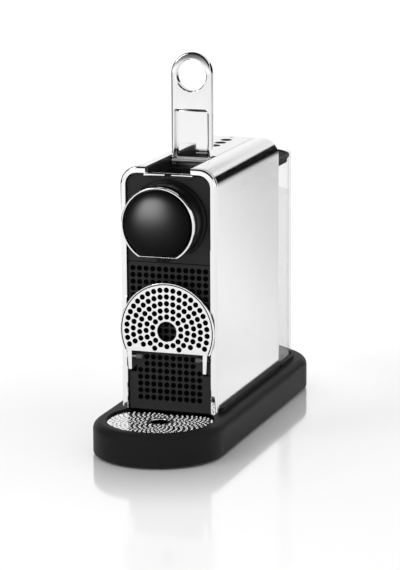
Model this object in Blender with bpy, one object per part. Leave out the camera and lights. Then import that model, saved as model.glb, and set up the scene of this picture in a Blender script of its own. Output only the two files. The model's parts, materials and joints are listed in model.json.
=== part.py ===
"""Pod coffee machine: a narrow steel-clad body on a stadium-shaped base.

A lever on top closes the brew chamber through a toggle, a drip unit with the capsule bin slides
out at the front, a cup support folds down from the bin's panel, and a clear water tank lifts off
at the back.

Metres, +Z up. The origin is the middle of the base on the surface it stands on, the front faces -Y
and +X is to the right of a person in front of the machine.
"""

import math

import bmesh
import bpy
from mathutils import Matrix, Vector

# ---------------------------------------------------------------- driving dimensions
FIT = 0.0003                # gap between pieces that sit against each other
TOO_FAR = 0.5               # how far a cutting slab reaches past the machine
OVERLAP = 0.0010            # how deep an added shape reaches into the one it joins

BASE_RADIUS = 0.0650        # half of the base's width, and the radius of its round ends
BASE_END_Y = 0.1375         # the round ends' centres are this far in front of and behind the origin
BASE_TOP_Z = 0.0335
BASE_BOTTOM_Z = 0.0023
BASE_SHOULDER = 0.0080      # rounding along the base's top edge
BASE_WALL = 0.0030
BASE_SEAM_Y = -0.1360       # the drip unit is in front of this line, the machine's base behind it
PLATE_TOP_Z = 0.0043        # the plate that closes the base underneath
PLINTH_HALF_X = 0.0515
PLINTH_Y = (-0.1000, 0.0985)
PLINTH_TOP_Z = 0.0390
PLINTH_CORNER = 0.0060
BODY_HOLLOW_TOP_Z = 0.0360  # the base is hollow from below, up to here under the body
REAR_HOLLOW_TOP_Z = 0.0305  # and up to here under the tank
HOLLOW_FRONT_Y = -0.0180
SIDE_HOLLOW_X = (0.0560, 0.0615)    # narrow pockets on both sides of the tray
SIDE_HOLLOW_TOP_Z = 0.0230

FOOT_RADIUS = 0.0080
FOOT_HEIGHT = 0.0020
FOOT_PLACES = ((-0.050, -0.118), (0.050, -0.118), (-0.044, 0.152), (0.044, 0.152))
SCREW_PLACES = ((-0.034, 0.020), (0.034, 0.020), (-0.030, 0.170), (0.030, 0.170))
SCREW_POST_RADIUS = 0.0042
GLAND_Z = 0.0160            # the power cord's hole in the rear of the base
GLAND_RADIUS = 0.0065

BODY_HALF_X = 0.0490
BODY_FRONT_Y = -0.1093
BODY_REAR_Y = 0.0984
BODY_TOP_Z = 0.2760
BODY_CORNER = 0.0180        # radius of the two long top edges
SHEET = 0.0012              # steel of the side panels
FRAME_BAND = 0.0060         # how wide the chrome frame looks from the front
FRAME_DEPTH = 0.0051
SLOT_HALF_X = 0.0233        # half width of the strip between the side panels, on top
STRIP_GAP = 0.0005

SILL_TOP_Z = 0.2705         # chrome sill under the lever, in the frame's notch
SILL_BOTTOM_Z = 0.2667
SILL_SETBACK = 0.0015
RECESS_FLOOR_Z = 0.2655
RECESS_HALF_X = 0.0213
RECESS_WALL = 0.0013

PANEL_FRONT_Y = -0.1063
PANEL_THICK = 0.0030
PANEL_HALF_X = 0.0426
SEAM_Z = 0.1821             # between the upper front panel and the capsule bin's panel

HEAD_Z = 0.2250             # centre of the round coffee head, also the brew axis
HEAD_RADIUS = 0.0372
HEAD_FRONT_Y = -0.1366
HEAD_FLAT_Z = 0.1937        # the head is cut flat underneath
RING_FRONT_Y = -0.1400
SPIGOT_RADIUS = 0.0296      # the head's collar that passes through the front panel
OUTLET_Y = -0.1240          # the coffee outlet under the head
OUTLET_HOLE_RADIUS = 0.0040

LEVER_AXIS = Vector((0.0, -0.0369, 0.2715))
LEVER_HALF_X = 0.0207
LEVER_FRONT_Y = -0.0374
LEVER_THICK = 0.0090
LEVER_TOP_Z = 0.3790
LEVER_HOLE_RADIUS = 0.0153
LEVER_HOLE_Z = 0.3566
LEVER_POCKET_HALF_X = 0.0175
LEVER_POCKET_TOP_Z = 0.3224
LEVER_POCKET_DEPTH = 0.0060
LEVER_EAR_RADIUS = 0.0042
PIN_RADIUS = 0.0020
RUN = 0.0003                # radial clearance of a pin in its hole

POD_SLOT_HALF_X = 0.0195
POD_SLOT_Y = (-0.0880, -0.0450)

PISTON_RADIUS = 0.0210
PISTON_FRONT_Y = -0.0440
PISTON_REAR_Y = -0.0060
PISTON_PIN_Y = 0.0
TOGGLE_ANCHOR_Y = 0.0240
TOGGLE_LENGTH = 0.0240      # each toggle link, eye to eye
TOGGLE_FOLD = math.radians(60.0)
LINK_EYE = 0.0045
CHASSIS_REAR_Y = 0.0290
CHASSIS_INNER_X = 0.0238
CHASSIS_SHEET = 0.0020
TONGUE_X = 0.0030           # half thickness of the toggle's middle eyes
CHEEK_X = (0.0036, 0.0066)  # the eyes on both sides of them
LINK_PIN_HALF = 0.0076

GRID_RADIUS = 0.0519
GRID_TOP_Z = 0.0314
GRID_THICK = 0.0025
BASIN_RADIUS = 0.0495
BASIN_FLOOR_Z = 0.0080
TRAY_BACK_RADIUS = 0.0526   # the half of the drip tray that reaches under the body
TONGUE_HALF_X = 0.0418
TONGUE_REAR_Y = -0.0280
BIN_HALF_X = 0.0390
BIN_Y = (-0.0930, -0.0300)
BIN_TOP_Z = 0.1720

SUPPORT_FRONT_Y = -0.1150
SUPPORT_THICK = 0.0025
SUPPORT_RADIUS = 0.0485
SUPPORT_Z = 0.1155
SUPPORT_FLAT_Z = 0.0940
SUPPORT_HOLE_RADIUS = 0.0099
SUPPORT_AXIS = Vector((0.0, -0.1090, 0.0877))
SUPPORT_LEG_X = (0.0366, 0.0413)
SUPPORT_LEG_BOTTOM_Z = 0.0755
SUPPORT_PIN_RADIUS = 0.0012

TANK_HALF_X = 0.0480
TANK_FRONT_Y = 0.0996
TANK_BOTTOM_Z = 0.0344
TANK_TOP_Z = 0.2534
TANK_WALL = 0.0020
TANK_LEDGE_Z = 0.2492       # the lid rests here, inside the rim
TANK_SEAT_GAP = 0.0008      # around the tank, in the lip that locates it on the base
TANK_LIP = 0.0032
TANK_LIP_Z = 0.0370
TANK_CORNER = 0.0040
VALVE_Y = 0.1375
VALVE_SEAT_RADIUS = 0.0090

BUTTON_YS = (0.0360, 0.0550, 0.0740)
BUTTON_RADIUS = 0.0057
LAMP_Y = 0.0920
LID_BOTTOM_Z = 0.2745
LID_FRONT_Y = -0.0277


# ---------------------------------------------------------------- materials
def material(name, colour, roughness, metallic=0.0, alpha=1.0):
    made = bpy.data.materials.new(name)
    made.use_nodes = True
    shader = made.node_tree.nodes["Principled BSDF"]
    shader.inputs["Base Color"].default_value = (*colour, 1.0)
    shader.inputs["Roughness"].default_value = roughness
    shader.inputs["Metallic"].default_value = metallic
    shader.inputs["Alpha"].default_value = alpha
    made.diffuse_color = (*colour, alpha)
    return made


for old in list(bpy.data.objects):
    bpy.data.objects.remove(old, do_unlink=True)

CHROME = material("chrome", (0.86, 0.86, 0.87), 0.06, 1.0)
STEEL = material("polished_steel", (0.80, 0.80, 0.81), 0.18, 1.0)
SHEET_STEEL = material("bracket_steel", (0.56, 0.57, 0.58), 0.40, 1.0)
CHARCOAL = material("charcoal_plastic", (0.030, 0.030, 0.031), 0.45)
BLACK = material("matte_black_plastic", (0.014, 0.014, 0.014), 0.55)
GLOSS = material("gloss_black", (0.004, 0.004, 0.004), 0.08)
GREY = material("grey_plastic", (0.20, 0.20, 0.21), 0.50)
LID_GREY = material("light_grey_lid", (0.62, 0.62, 0.63), 0.35, 0.8)
RUBBER = material("rubber", (0.020, 0.020, 0.020), 0.85)
SILICONE = material("silicone", (0.62, 0.63, 0.62), 0.60)
CLEAR = material("clear_plastic", (0.90, 0.94, 0.95), 0.08, 0.0, 0.30)
ALUMINIUM = material("cast_aluminium", (0.60, 0.60, 0.61), 0.45, 1.0)
COPPER = material("winding", (0.45, 0.20, 0.08), 0.45, 0.7)
BOARD = material("circuit_board", (0.02, 0.16, 0.06), 0.50)


# ---------------------------------------------------------------- modelling tools
def axis_point(axis, across, up, along):
    """A point of an outline drawn square to an axis, at a place along that axis."""
    if axis == "X":
        return (along, across, up)
    if axis == "Y":
        return (across, along, up)
    return (across, up, along)


def to_object(name, bm, look, smooth_deg=35.0):
    bmesh.ops.recalc_face_normals(bm, faces=bm.faces)
    mesh = bpy.data.meshes.new(name)
    bm.to_mesh(mesh)
    bm.free()
    mesh.shade_smooth()
    mesh.set_sharp_from_angle(angle=math.radians(smooth_deg))
    made = bpy.data.objects.new(name, mesh)
    bpy.context.scene.collection.objects.link(made)
    if look is not None:
        mesh.materials.append(look)
    return made


def loft(name, rings, look=None):
    """A closed solid through rings of equally many points, capped at both ends."""
    bm = bmesh.new()
    layers = [[bm.verts.new(point) for point in ring] for ring in rings]
    count = len(layers[0])
    for low, high in zip(layers, layers[1:]):
        for i in range(count):
            j = (i + 1) % count
            bm.faces.new((low[i], low[j], high[j], high[i]))
    bm.faces.new(layers[0])
    bm.faces.new(layers[-1])
    return to_object(name, bm, look)


def prism(name, outline, axis, low, high, look=None):
    rings = [[axis_point(axis, a, b, place) for a, b in outline] for place in (low, high)]
    return loft(name, rings, look)


def turned(name, profile, centre, axis, look=None, steps=32):
    """A solid of revolution; profile is (radius, place along the axis) and may start and end at 0."""
    bm = bmesh.new()
    rings = []
    for radius, along in profile:
        if radius == 0.0:
            rings.append([bm.verts.new(axis_point(axis, centre[0], centre[1], along))])
            continue
        ring = []
        for step in range(steps):
            turn = 2.0 * math.pi * (step + 0.5) / steps
            across = centre[0] + radius * math.cos(turn)
            up = centre[1] + radius * math.sin(turn)
            ring.append(bm.verts.new(axis_point(axis, across, up, along)))
        rings.append(ring)
    pairs = list(zip(rings, rings[1:]))
    if len(rings[0]) > 1 and len(rings[-1]) > 1:
        pairs.append((rings[-1], rings[0]))
    for first, second in pairs:
        if len(first) == len(second) == 1:
            continue
        for i in range(steps):
            j = (i + 1) % steps
            if len(first) == 1:
                bm.faces.new((first[0], second[i], second[j]))
            elif len(second) == 1:
                bm.faces.new((first[i], first[j], second[0]))
            else:
                bm.faces.new((first[i], first[j], second[j], second[i]))
    return to_object(name, bm, look)


def rod(name, centre, axis, radius, low, high, look=None, steps=20):
    return turned(name, [(0.0, low), (radius, low), (radius, high), (0.0, high)], centre, axis, look, steps)


def block(name, xs, ys, zs, look=None):
    outline = [(xs[0], ys[0]), (xs[1], ys[0]), (xs[1], ys[1]), (xs[0], ys[1])]
    return prism(name, outline, "Z", zs[0], zs[1], look)


def combine(piece, operation, others):
    for other in others:
        step = piece.modifiers.new(other.name, "BOOLEAN")
        step.operation = operation
        step.object = other
        other.hide_render = True
        other.display_type = "WIRE"


def cut(piece, *cutters):
    combine(piece, "DIFFERENCE", cutters)


def join(piece, *others):
    combine(piece, "UNION", others)


def soften(piece, width, segments=2, angle_deg=40.0):
    step = piece.modifiers.new("soft_edges", "BEVEL")
    step.width = width
    step.segments = segments
    step.limit_method = "ANGLE"
    step.angle_limit = math.radians(angle_deg)
    step.miter_outer = "MITER_ARC"


def arc(centre, radius, start_deg, end_deg, steps):
    """Points of an arc, both ends included."""
    points = []
    for step in range(steps + 1):
        turn = math.radians(start_deg + (end_deg - start_deg) * step / steps)
        points.append((centre[0] + radius * math.cos(turn), centre[1] + radius * math.sin(turn)))
    return points


def rounded_box(low, high, radius, steps=3):
    corners = (
        ((high[0] - radius, low[1] + radius), -90.0),
        ((high[0] - radius, high[1] - radius), 0.0),
        ((low[0] + radius, high[1] - radius), 90.0),
        ((low[0] + radius, low[1] + radius), 180.0),
    )
    return [p for centre, start in corners for p in arc(centre, radius, start, start + 90.0, steps)]


def mirrored(outline):
    return [(-a, b) for a, b in reversed(outline)]


def closed_band(outer, inner):
    """An inverted U from its right halves, both given from the open end up to the middle."""
    return outer + mirrored(outer) + [(-a, b) for a, b in inner] + list(reversed(inner))


def pivot(name, place):
    made = bpy.data.objects.new(name, None)
    made.empty_display_size = 0.02
    bpy.context.scene.collection.objects.link(made)
    made.location = place
    return made


def hang(empty, *pieces):
    """Parents pieces to the empty on their joint's axis, without moving them."""
    for piece in pieces:
        piece.parent = empty
        piece.matrix_parent_inverse = Matrix.Translation(-Vector(empty.location))


# ---------------------------------------------------------------- base
def stadium(inset, steps=20):
    radius = BASE_RADIUS - inset
    front = arc((0.0, -BASE_END_Y), radius, 180.0, 360.0, steps)
    rear = arc((0.0, BASE_END_Y), radius, 0.0, 180.0, steps)
    return front + rear


def stadium_body(name, look=None):
    """The whole base's outside: a small lead-in below, upright walls and a rounded top edge."""
    lead_in = 0.0012
    levels = [(BASE_BOTTOM_Z, 0.0010), (BASE_BOTTOM_Z + lead_in, 0.0)]
    for across, up in arc((0.0, 0.0), BASE_SHOULDER, 0.0, 90.0, 4):
        levels.append((BASE_TOP_Z - BASE_SHOULDER + up, BASE_SHOULDER - across))
    rings = [[(x, y, z) for x, y in stadium(inset)] for z, inset in levels]
    return loft(name, rings, look)


def tank_outline(inset, steps=16):
    half = TANK_HALF_X - inset
    front = TANK_FRONT_Y + inset
    corner_y = front + TANK_CORNER
    outline = arc((TANK_CORNER - half, corner_y), TANK_CORNER, 180.0, 270.0, 2)
    outline += arc((half - TANK_CORNER, corner_y), TANK_CORNER, 270.0, 360.0, 2)
    return outline + arc((0.0, BASE_END_Y), half, 0.0, 180.0, steps)


def make_base():
    below, above = -0.0100, 0.0600
    plinth_low = BASE_TOP_Z - OVERLAP
    tray_gap = 0.0004
    shell = stadium_body("base_shell", BLACK)
    plinth = prism(
        "plinth_add",
        rounded_box((-PLINTH_HALF_X, PLINTH_Y[0]), (PLINTH_HALF_X, PLINTH_Y[1]), PLINTH_CORNER),
        "Z", plinth_low, PLINTH_TOP_Z,
    )
    lip = prism("tank_lip_add", tank_outline(-TANK_LIP), "Z", plinth_low, TANK_LIP_Z)
    join(shell, plinth, lip)
    tongue_room_x = TONGUE_HALF_X + 0.0012
    side_hollow_y = (-0.1280, HOLLOW_FRONT_Y - OVERLAP)
    left_x, right_x = (-SIDE_HOLLOW_X[1], -SIDE_HOLLOW_X[0]), SIDE_HOLLOW_X
    cut(
        shell,
        block("seam_cut", (-TOO_FAR, TOO_FAR), (-TOO_FAR, BASE_SEAM_Y + FIT), (-TOO_FAR, TOO_FAR)),
        prism("tank_seat_cut", tank_outline(-TANK_SEAT_GAP), "Z", BASE_TOP_Z, above),
        rod("tray_cut", (0.0, -BASE_END_Y), "Z", TRAY_BACK_RADIUS + tray_gap, below, above, steps=48),
        block("tongue_cut", (-tongue_room_x, tongue_room_x), (-0.1400, TONGUE_REAR_Y + 0.0040), (below, above)),
        prism("plate_recess_cut", stadium(BASE_WALL), "Z", below, PLATE_TOP_Z + FIT),
        hollow("rear_hollow_cut", (HOLLOW_FRONT_Y, 0.2020), REAR_HOLLOW_TOP_Z),
        hollow("body_hollow_cut", (HOLLOW_FRONT_Y, 0.0950), BODY_HOLLOW_TOP_Z, half_x=0.0480),
        block("left_hollow_cut", left_x, side_hollow_y, (below, SIDE_HOLLOW_TOP_Z)),
        block("right_hollow_cut", right_x, side_hollow_y, (below, SIDE_HOLLOW_TOP_Z)),
        rod("valve_hole_cut", (0.0, VALVE_Y), "Z", VALVE_SEAT_RADIUS + FIT, 0.0200, 0.0400),
        rod("gland_hole_cut", (0.0, GLAND_Z), "Y", GLAND_RADIUS + 0.0004, 0.1900, 0.2100),
    )
    deck_thickness = 0.0015
    pilot_radius, pilot_depth = 0.0017, 0.0150
    for number, place in enumerate(SCREW_PLACES, start=1):
        post_top = (PLINTH_TOP_Z if place[1] < TANK_FRONT_Y else BASE_TOP_Z) - deck_thickness
        post = rod(f"screw_post_add_{number}", place, "Z", SCREW_POST_RADIUS, PLATE_TOP_Z + FIT, post_top, steps=16)
        join(shell, post)
        cut(shell, rod(f"screw_bore_cut_{number}", place, "Z", pilot_radius, 0.0, pilot_depth, steps=12))

    plate = prism("base_bottom_plate", stadium(BASE_WALL + 0.0004), "Z", BASE_BOTTOM_Z, PLATE_TOP_Z, BLACK)
    plate_front_y = BASE_SEAM_Y + 0.0034
    cut(plate, block("plate_seam_cut", (-TOO_FAR, TOO_FAR), (-TOO_FAR, plate_front_y), (below, above)))
    stem, stem_top, foot_edge = 0.0030, 0.0045, 0.0006
    for number, place in enumerate(FOOT_PLACES, start=1):
        cut(plate, rod(f"foot_hole_cut_{number}", place, "Z", stem + RUN, below, above, steps=16))
        turned(
            f"foot_{number}",
            [(0.0, 0.0), (FOOT_RADIUS - foot_edge, 0.0), (FOOT_RADIUS, foot_edge), (FOOT_RADIUS, FOOT_HEIGHT),
             (stem, FOOT_HEIGHT), (stem, stem_top), (0.0, stem_top)],
            place, "Z", RUBBER, 16,
        )
    shank, screw_end = 0.0014, 0.0120
    head_radius, head_low, head_top, head_edge = 0.0028, 0.0008, 0.0020, 0.0005
    for number, place in enumerate(SCREW_PLACES, start=1):
        cut(plate, rod(f"plate_screw_cut_{number}", place, "Z", shank + FIT, below, above, steps=12))
        turned(
            f"base_screw_{number}",
            [(0.0, head_low), (head_radius - 0.0006, head_low), (head_radius, head_low + head_edge),
             (head_radius, head_top), (shank, head_top), (shank, screw_end), (0.0, screw_end)],
            place, "Z", SHEET_STEEL, 10,
        )

    bore, flange = 0.0033, 0.0086
    inner_y, neck_y, outer_y = 0.1940, 0.1985, 0.2022
    turned(
        "cord_gland",
        [(bore, inner_y), (flange, inner_y), (flange, neck_y), (GLAND_RADIUS, neck_y), (GLAND_RADIUS, outer_y),
         (bore, outer_y)],
        (0.0, GLAND_Z), "Y", RUBBER, 20,
    )
    seat_bore, seat_z = 0.0050, (0.0270, 0.0340)
    turned(
        "tank_valve_seat",
        [(seat_bore, seat_z[0]), (VALVE_SEAT_RADIUS, seat_z[0]), (VALVE_SEAT_RADIUS, seat_z[1]),
         (seat_bore, seat_z[1])],
        (0.0, VALVE_Y), "Z", SILICONE, 24,
    )


def hollow(name, ys, top, half_x=None):
    """A pocket under the base, inside its wall, between two places along Y."""
    outline = []
    limit = BASE_RADIUS - BASE_WALL if half_x is None else half_x
    for x, y in stadium(BASE_WALL):
        outline.append((max(-limit, min(limit, x)), max(ys[0], min(ys[1], y))))
    kept = [outline[0]]
    for point in outline[1:]:
        if math.dist(point, kept[-1]) > 1e-6 and math.dist(point, outline[0]) > 1e-6:
            kept.append(point)
    return prism(name, kept, "Z", -0.01, top)


# ---------------------------------------------------------------- body shells
def body_section(inset, low_z, steps=6):
    """Half of the body's outline seen from the front: up the right side and over the top corner."""
    half = BODY_HALF_X - inset
    radius = BODY_CORNER - inset
    top = BODY_TOP_Z - inset
    return [(half, low_z)] + arc((half - radius, top - radius), radius, 0.0, 90.0, steps)


def make_side_panels():
    gap = 0.0004
    low_z = PLINTH_TOP_Z + gap
    outer = body_section(0.0, low_z) + [(SLOT_HALF_X, BODY_TOP_Z)]
    inner = body_section(SHEET, low_z) + [(SLOT_HALF_X, BODY_TOP_Z - SHEET)]
    outline = outer + list(reversed(inner))
    front = BODY_FRONT_Y + FRAME_DEPTH + gap
    prism("side_panel_right", outline, "Y", front, BODY_REAR_Y, STEEL)
    prism("side_panel_left", mirrored(outline), "Y", front, BODY_REAR_Y, STEEL)


def make_front_frame():
    foot_z = BASE_TOP_Z + FIT
    notch = SLOT_HALF_X - STRIP_GAP
    inner_top = BODY_TOP_Z - FRAME_BAND - STRIP_GAP
    right = body_section(0.0, foot_z, 8) + [(notch, BODY_TOP_Z), (notch, SILL_TOP_Z)]
    inner = body_section(FRAME_BAND, foot_z, 8)
    inner = [(x, min(z, inner_top)) for x, z in inner] + [(notch, inner_top), (notch, SILL_BOTTOM_Z)]
    rear = BODY_FRONT_Y + FRAME_DEPTH
    frame = prism("front_frame", closed_band(right, inner), "Y", BODY_FRONT_Y, rear, CHROME)
    set_back = block(
        "sill_setback_cut", (-notch, notch), (BODY_FRONT_Y - 0.01, BODY_FRONT_Y + SILL_SETBACK), (0.2500, 0.2900)
    )
    cut(frame, set_back)
    latch_y = BODY_FRONT_Y + SILL_SETBACK - FIT
    latch_half_x, latch_thickness, latch_z = 0.0030, 0.0014, (0.2674, 0.2708)
    block("lever_latch", (-latch_half_x, latch_half_x), (latch_y - latch_thickness, latch_y), latch_z, BLACK)


def make_front_panel():
    low_z = SEAM_Z + FIT
    side = body_section(BODY_HALF_X - PANEL_HALF_X, low_z)
    frame_gap = 0.0010
    top_z = BODY_TOP_Z - FRAME_BAND - frame_gap
    side = [(x, min(z, top_z)) for x, z in side]
    side += [(SLOT_HALF_X, top_z), (SLOT_HALF_X, SILL_BOTTOM_Z - 0.0004)]
    panel = prism(
        "upper_front_panel", side + mirrored(side), "Y", PANEL_FRONT_Y, PANEL_FRONT_Y + PANEL_THICK, CHARCOAL
    )
    spigot_hole = rod("spigot_hole_cut", (0.0, HEAD_Z), "Y", SPIGOT_RADIUS + 0.0004, -0.12, -0.09, steps=40)
    cut(panel, spigot_hole)


def make_rear_cover():
    side = body_section(SHEET + 0.0004, PLINTH_TOP_Z + FIT)
    side = [(x, min(z, LID_BOTTOM_Z - FIT)) for x, z in side]
    rear_y = BODY_REAR_Y - 0.0002
    thickness = 0.0020
    prism("rear_cover", side + mirrored(side), "Y", rear_y - thickness, rear_y, GREY)


def make_recess():
    """The black channel that the lever closes into, with the pod slot in its floor."""
    out_x = RECESS_HALF_X + RECESS_WALL
    floor_thickness, wall_drop = 0.0020, 0.0008
    low_z = RECESS_FLOOR_Z - floor_thickness
    wall_z = BODY_TOP_Z - wall_drop
    half = [(out_x, low_z), (out_x, wall_z), (RECESS_HALF_X, wall_z), (RECESS_HALF_X, RECESS_FLOOR_Z)]
    front_y = PANEL_FRONT_Y + PANEL_THICK + FIT
    recess = prism("lever_recess", half + mirrored(half), "Y", front_y, LID_FRONT_Y - 0.0004, BLACK)
    slot = block("pod_slot_cut", (-POD_SLOT_HALF_X, POD_SLOT_HALF_X), POD_SLOT_Y, (0.2500, 0.2700))
    pin_hole = rod("recess_pin_cut", LEVER_AXIS.yz, "X", PIN_RADIUS + RUN, -0.05, 0.05)
    cut(recess, slot, pin_hole)

    wall, corner, chute_bottom_z = 0.0012, 0.0020, 0.2475
    outer = rounded_box(
        (-POD_SLOT_HALF_X - wall, POD_SLOT_Y[0] - wall), (POD_SLOT_HALF_X + wall, POD_SLOT_Y[1] + wall), corner, 2
    )
    chute = prism("pod_chute", outer, "Z", chute_bottom_z, low_z - FIT, BLACK)
    cut(chute, block("chute_cut", (-POD_SLOT_HALF_X, POD_SLOT_HALF_X), POD_SLOT_Y, (0.2300, 0.2700)))


def make_top_lid():
    lip_z = 0.2640
    lip_rear_y = LID_FRONT_Y + BODY_TOP_Z - LID_BOTTOM_Z
    rear_y = BODY_REAR_Y - 0.0002
    outline = [
        (LID_FRONT_Y, lip_z), (lip_rear_y, lip_z), (lip_rear_y, LID_BOTTOM_Z),
        (rear_y, LID_BOTTOM_Z), (rear_y, BODY_TOP_Z), (LID_FRONT_Y, BODY_TOP_Z),
    ]
    half = SLOT_HALF_X - STRIP_GAP
    lid = prism("top_lid", outline, "X", -half, half, LID_GREY)
    for number, y in enumerate(BUTTON_YS, start=1):
        cut(lid, rod(f"button_hole_cut_{number}", (0.0, y), "Z", BUTTON_RADIUS + FIT, 0.27, 0.29, steps=24))
    lamp, lamp_bottom_z = 0.0015, 0.2700
    cut(lid, rod("lamp_hole_cut", (0.0, LAMP_Y), "Z", lamp + FIT, 0.27, 0.29, steps=16))
    rod("status_lamp", (0.0, LAMP_Y), "Z", lamp, lamp_bottom_z, BODY_TOP_Z, GLOSS, 16)

    board_half_x = 0.0150
    block("button_board", (-board_half_x, board_half_x), (0.0340, 0.0955), (0.2665, 0.2680), BOARD)


# ---------------------------------------------------------------- coffee head
def make_head():
    centre = (0.0, HEAD_Z)
    flat = block("head_flat_cut", (-0.1, 0.1), (-0.2, PANEL_FRONT_Y - FIT), (0.1, HEAD_FLAT_Z))
    bore = 0.0270
    back_y = PANEL_FRONT_Y - FIT
    spigot_rear_y = -0.1002
    flare_rear, flare_mid = HEAD_RADIUS + 0.0026, HEAD_RADIUS + 0.0010
    step_rear_y, step_front_y = -0.1290, -0.1306
    nose_radius = 0.0352
    front_wall_y = HEAD_FRONT_Y + 0.0030
    housing = turned(
        "head_housing",
        [
            (bore, spigot_rear_y), (SPIGOT_RADIUS, spigot_rear_y), (SPIGOT_RADIUS, back_y), (flare_rear, back_y),
            (flare_mid, PANEL_FRONT_Y - 0.0016), (HEAD_RADIUS, PANEL_FRONT_Y - 0.0050), (HEAD_RADIUS, step_rear_y),
            (nose_radius, step_front_y), (nose_radius, HEAD_FRONT_Y), (0.0, HEAD_FRONT_Y), (0.0, front_wall_y),
            (bore, front_wall_y),
        ],
        centre, "Y", BLACK, 40,
    )
    drip_hole = rod("drip_hole_cut", (0.0, OUTLET_Y), "Z", OUTLET_HOLE_RADIUS, 0.1800, 0.2100, steps=16)
    cut(housing, flat, drip_hole)

    ring_back = HEAD_FRONT_Y - FIT
    ring_inner, ring_edge = 0.0346, 0.0006
    ring = turned(
        "head_ring",
        [
            (ring_inner, ring_back), (HEAD_RADIUS - ring_edge, ring_back), (HEAD_RADIUS, ring_back - 0.0012),
            (HEAD_RADIUS - ring_edge, RING_FRONT_Y + ring_edge), (HEAD_RADIUS - 0.0015, RING_FRONT_Y),
            (0.0350, RING_FRONT_Y + ring_edge), (ring_inner, RING_FRONT_Y + 0.0016),
        ],
        centre, "Y", CHROME, 40,
    )
    cut(ring, flat)

    dome_radius, dome_rise, rows = 0.0338, 0.0085, 6
    dome_edge_y = RING_FRONT_Y + 0.0020
    profile = [(0.0, ring_back), (dome_radius, ring_back), (dome_radius, dome_edge_y)]
    for step in range(1, rows):
        turn = 0.5 * math.pi * step / rows
        profile.append((dome_radius * math.cos(turn), dome_edge_y - dome_rise * math.sin(turn)))
    profile.append((0.0, dome_edge_y - dome_rise))
    dome = turned("head_dome", profile, centre, "Y", GLOSS, 40)
    dome_flat_z = HEAD_FLAT_Z + 0.0012
    cut(dome, block("dome_flat_cut", (-0.1, 0.1), (-0.2, -0.1), (0.1, dome_flat_z)))

    spout_bore, spout_top, spout_bottom = OUTLET_HOLE_RADIUS + 0.0002, 0.0072, 0.0066
    spout_z = (0.1868, HEAD_FLAT_Z - FIT)
    turned(
        "outlet_spout",
        [(spout_bore, spout_z[1]), (spout_top, spout_z[1]), (spout_bottom, spout_z[0]), (spout_bore, spout_z[0])],
        (0.0, OUTLET_Y), "Z", BLACK, 24,
    )
    plate_rear_y, plate_mid_y, plate_front_y, nozzle_y = -0.0945, -0.0998, -0.1015, -0.1180
    plate_radius, rim_radius, nozzle_radius = 0.0225, 0.0255, 0.0060
    turned(
        "brew_head",
        [
            (0.0, plate_rear_y), (plate_radius, plate_rear_y), (plate_radius, plate_mid_y),
            (rim_radius, plate_mid_y), (rim_radius, plate_front_y), (nozzle_radius, plate_front_y),
            (nozzle_radius, nozzle_y), (0.0, nozzle_y),
        ],
        centre, "Y", ALUMINIUM, 24,
    )


# ---------------------------------------------------------------- lever, piston and toggle
def make_lever():
    axis_yz = LEVER_AXIS.yz
    arc_z = LEVER_TOP_Z - LEVER_HALF_X
    outline = [(-LEVER_HALF_X, LEVER_AXIS.z), (LEVER_HALF_X, LEVER_AXIS.z)]
    outline += arc((0.0, arc_z), LEVER_HALF_X, 0.0, 180.0, 24)
    rear_y = LEVER_FRONT_Y + LEVER_THICK
    lever = prism("lever_handle", outline, "Y", LEVER_FRONT_Y, rear_y, CHROME)
    soften(lever, 0.0010, 2)
    pocket_x, pocket_corner = LEVER_POCKET_HALF_X, 0.0030
    ears = []
    for side in (-1, 1):
        inner, outer = sorted((side * pocket_x, side * LEVER_HALF_X))
        ears.append(rod(f"lever_ear_add_{side + 1}", axis_yz, "X", LEVER_EAR_RADIUS, inner, outer, steps=24))
    join(lever, *ears)
    pocket = prism(
        "lever_pocket_cut",
        rounded_box((-pocket_x, LEVER_AXIS.z - 0.0300), (pocket_x, LEVER_POCKET_TOP_Z), pocket_corner),
        "Y", LEVER_FRONT_Y - 0.02, LEVER_FRONT_Y + LEVER_POCKET_DEPTH,
    )
    hole = rod("lever_hole_cut", (0.0, LEVER_HOLE_Z), "Y", LEVER_HOLE_RADIUS, -0.06, 0.0, steps=40)
    pin_hole = rod("lever_pin_cut", axis_yz, "X", PIN_RADIUS + RUN, -0.05, 0.05)
    cut(lever, pocket, hole, pin_hole)
    pin_half = CHASSIS_INNER_X + 0.0018
    pin = rod("lever_pin", axis_yz, "X", PIN_RADIUS, -pin_half, pin_half, SHEET_STEEL)
    hang(pivot("lever_axis", LEVER_AXIS), lever, pin)


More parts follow.
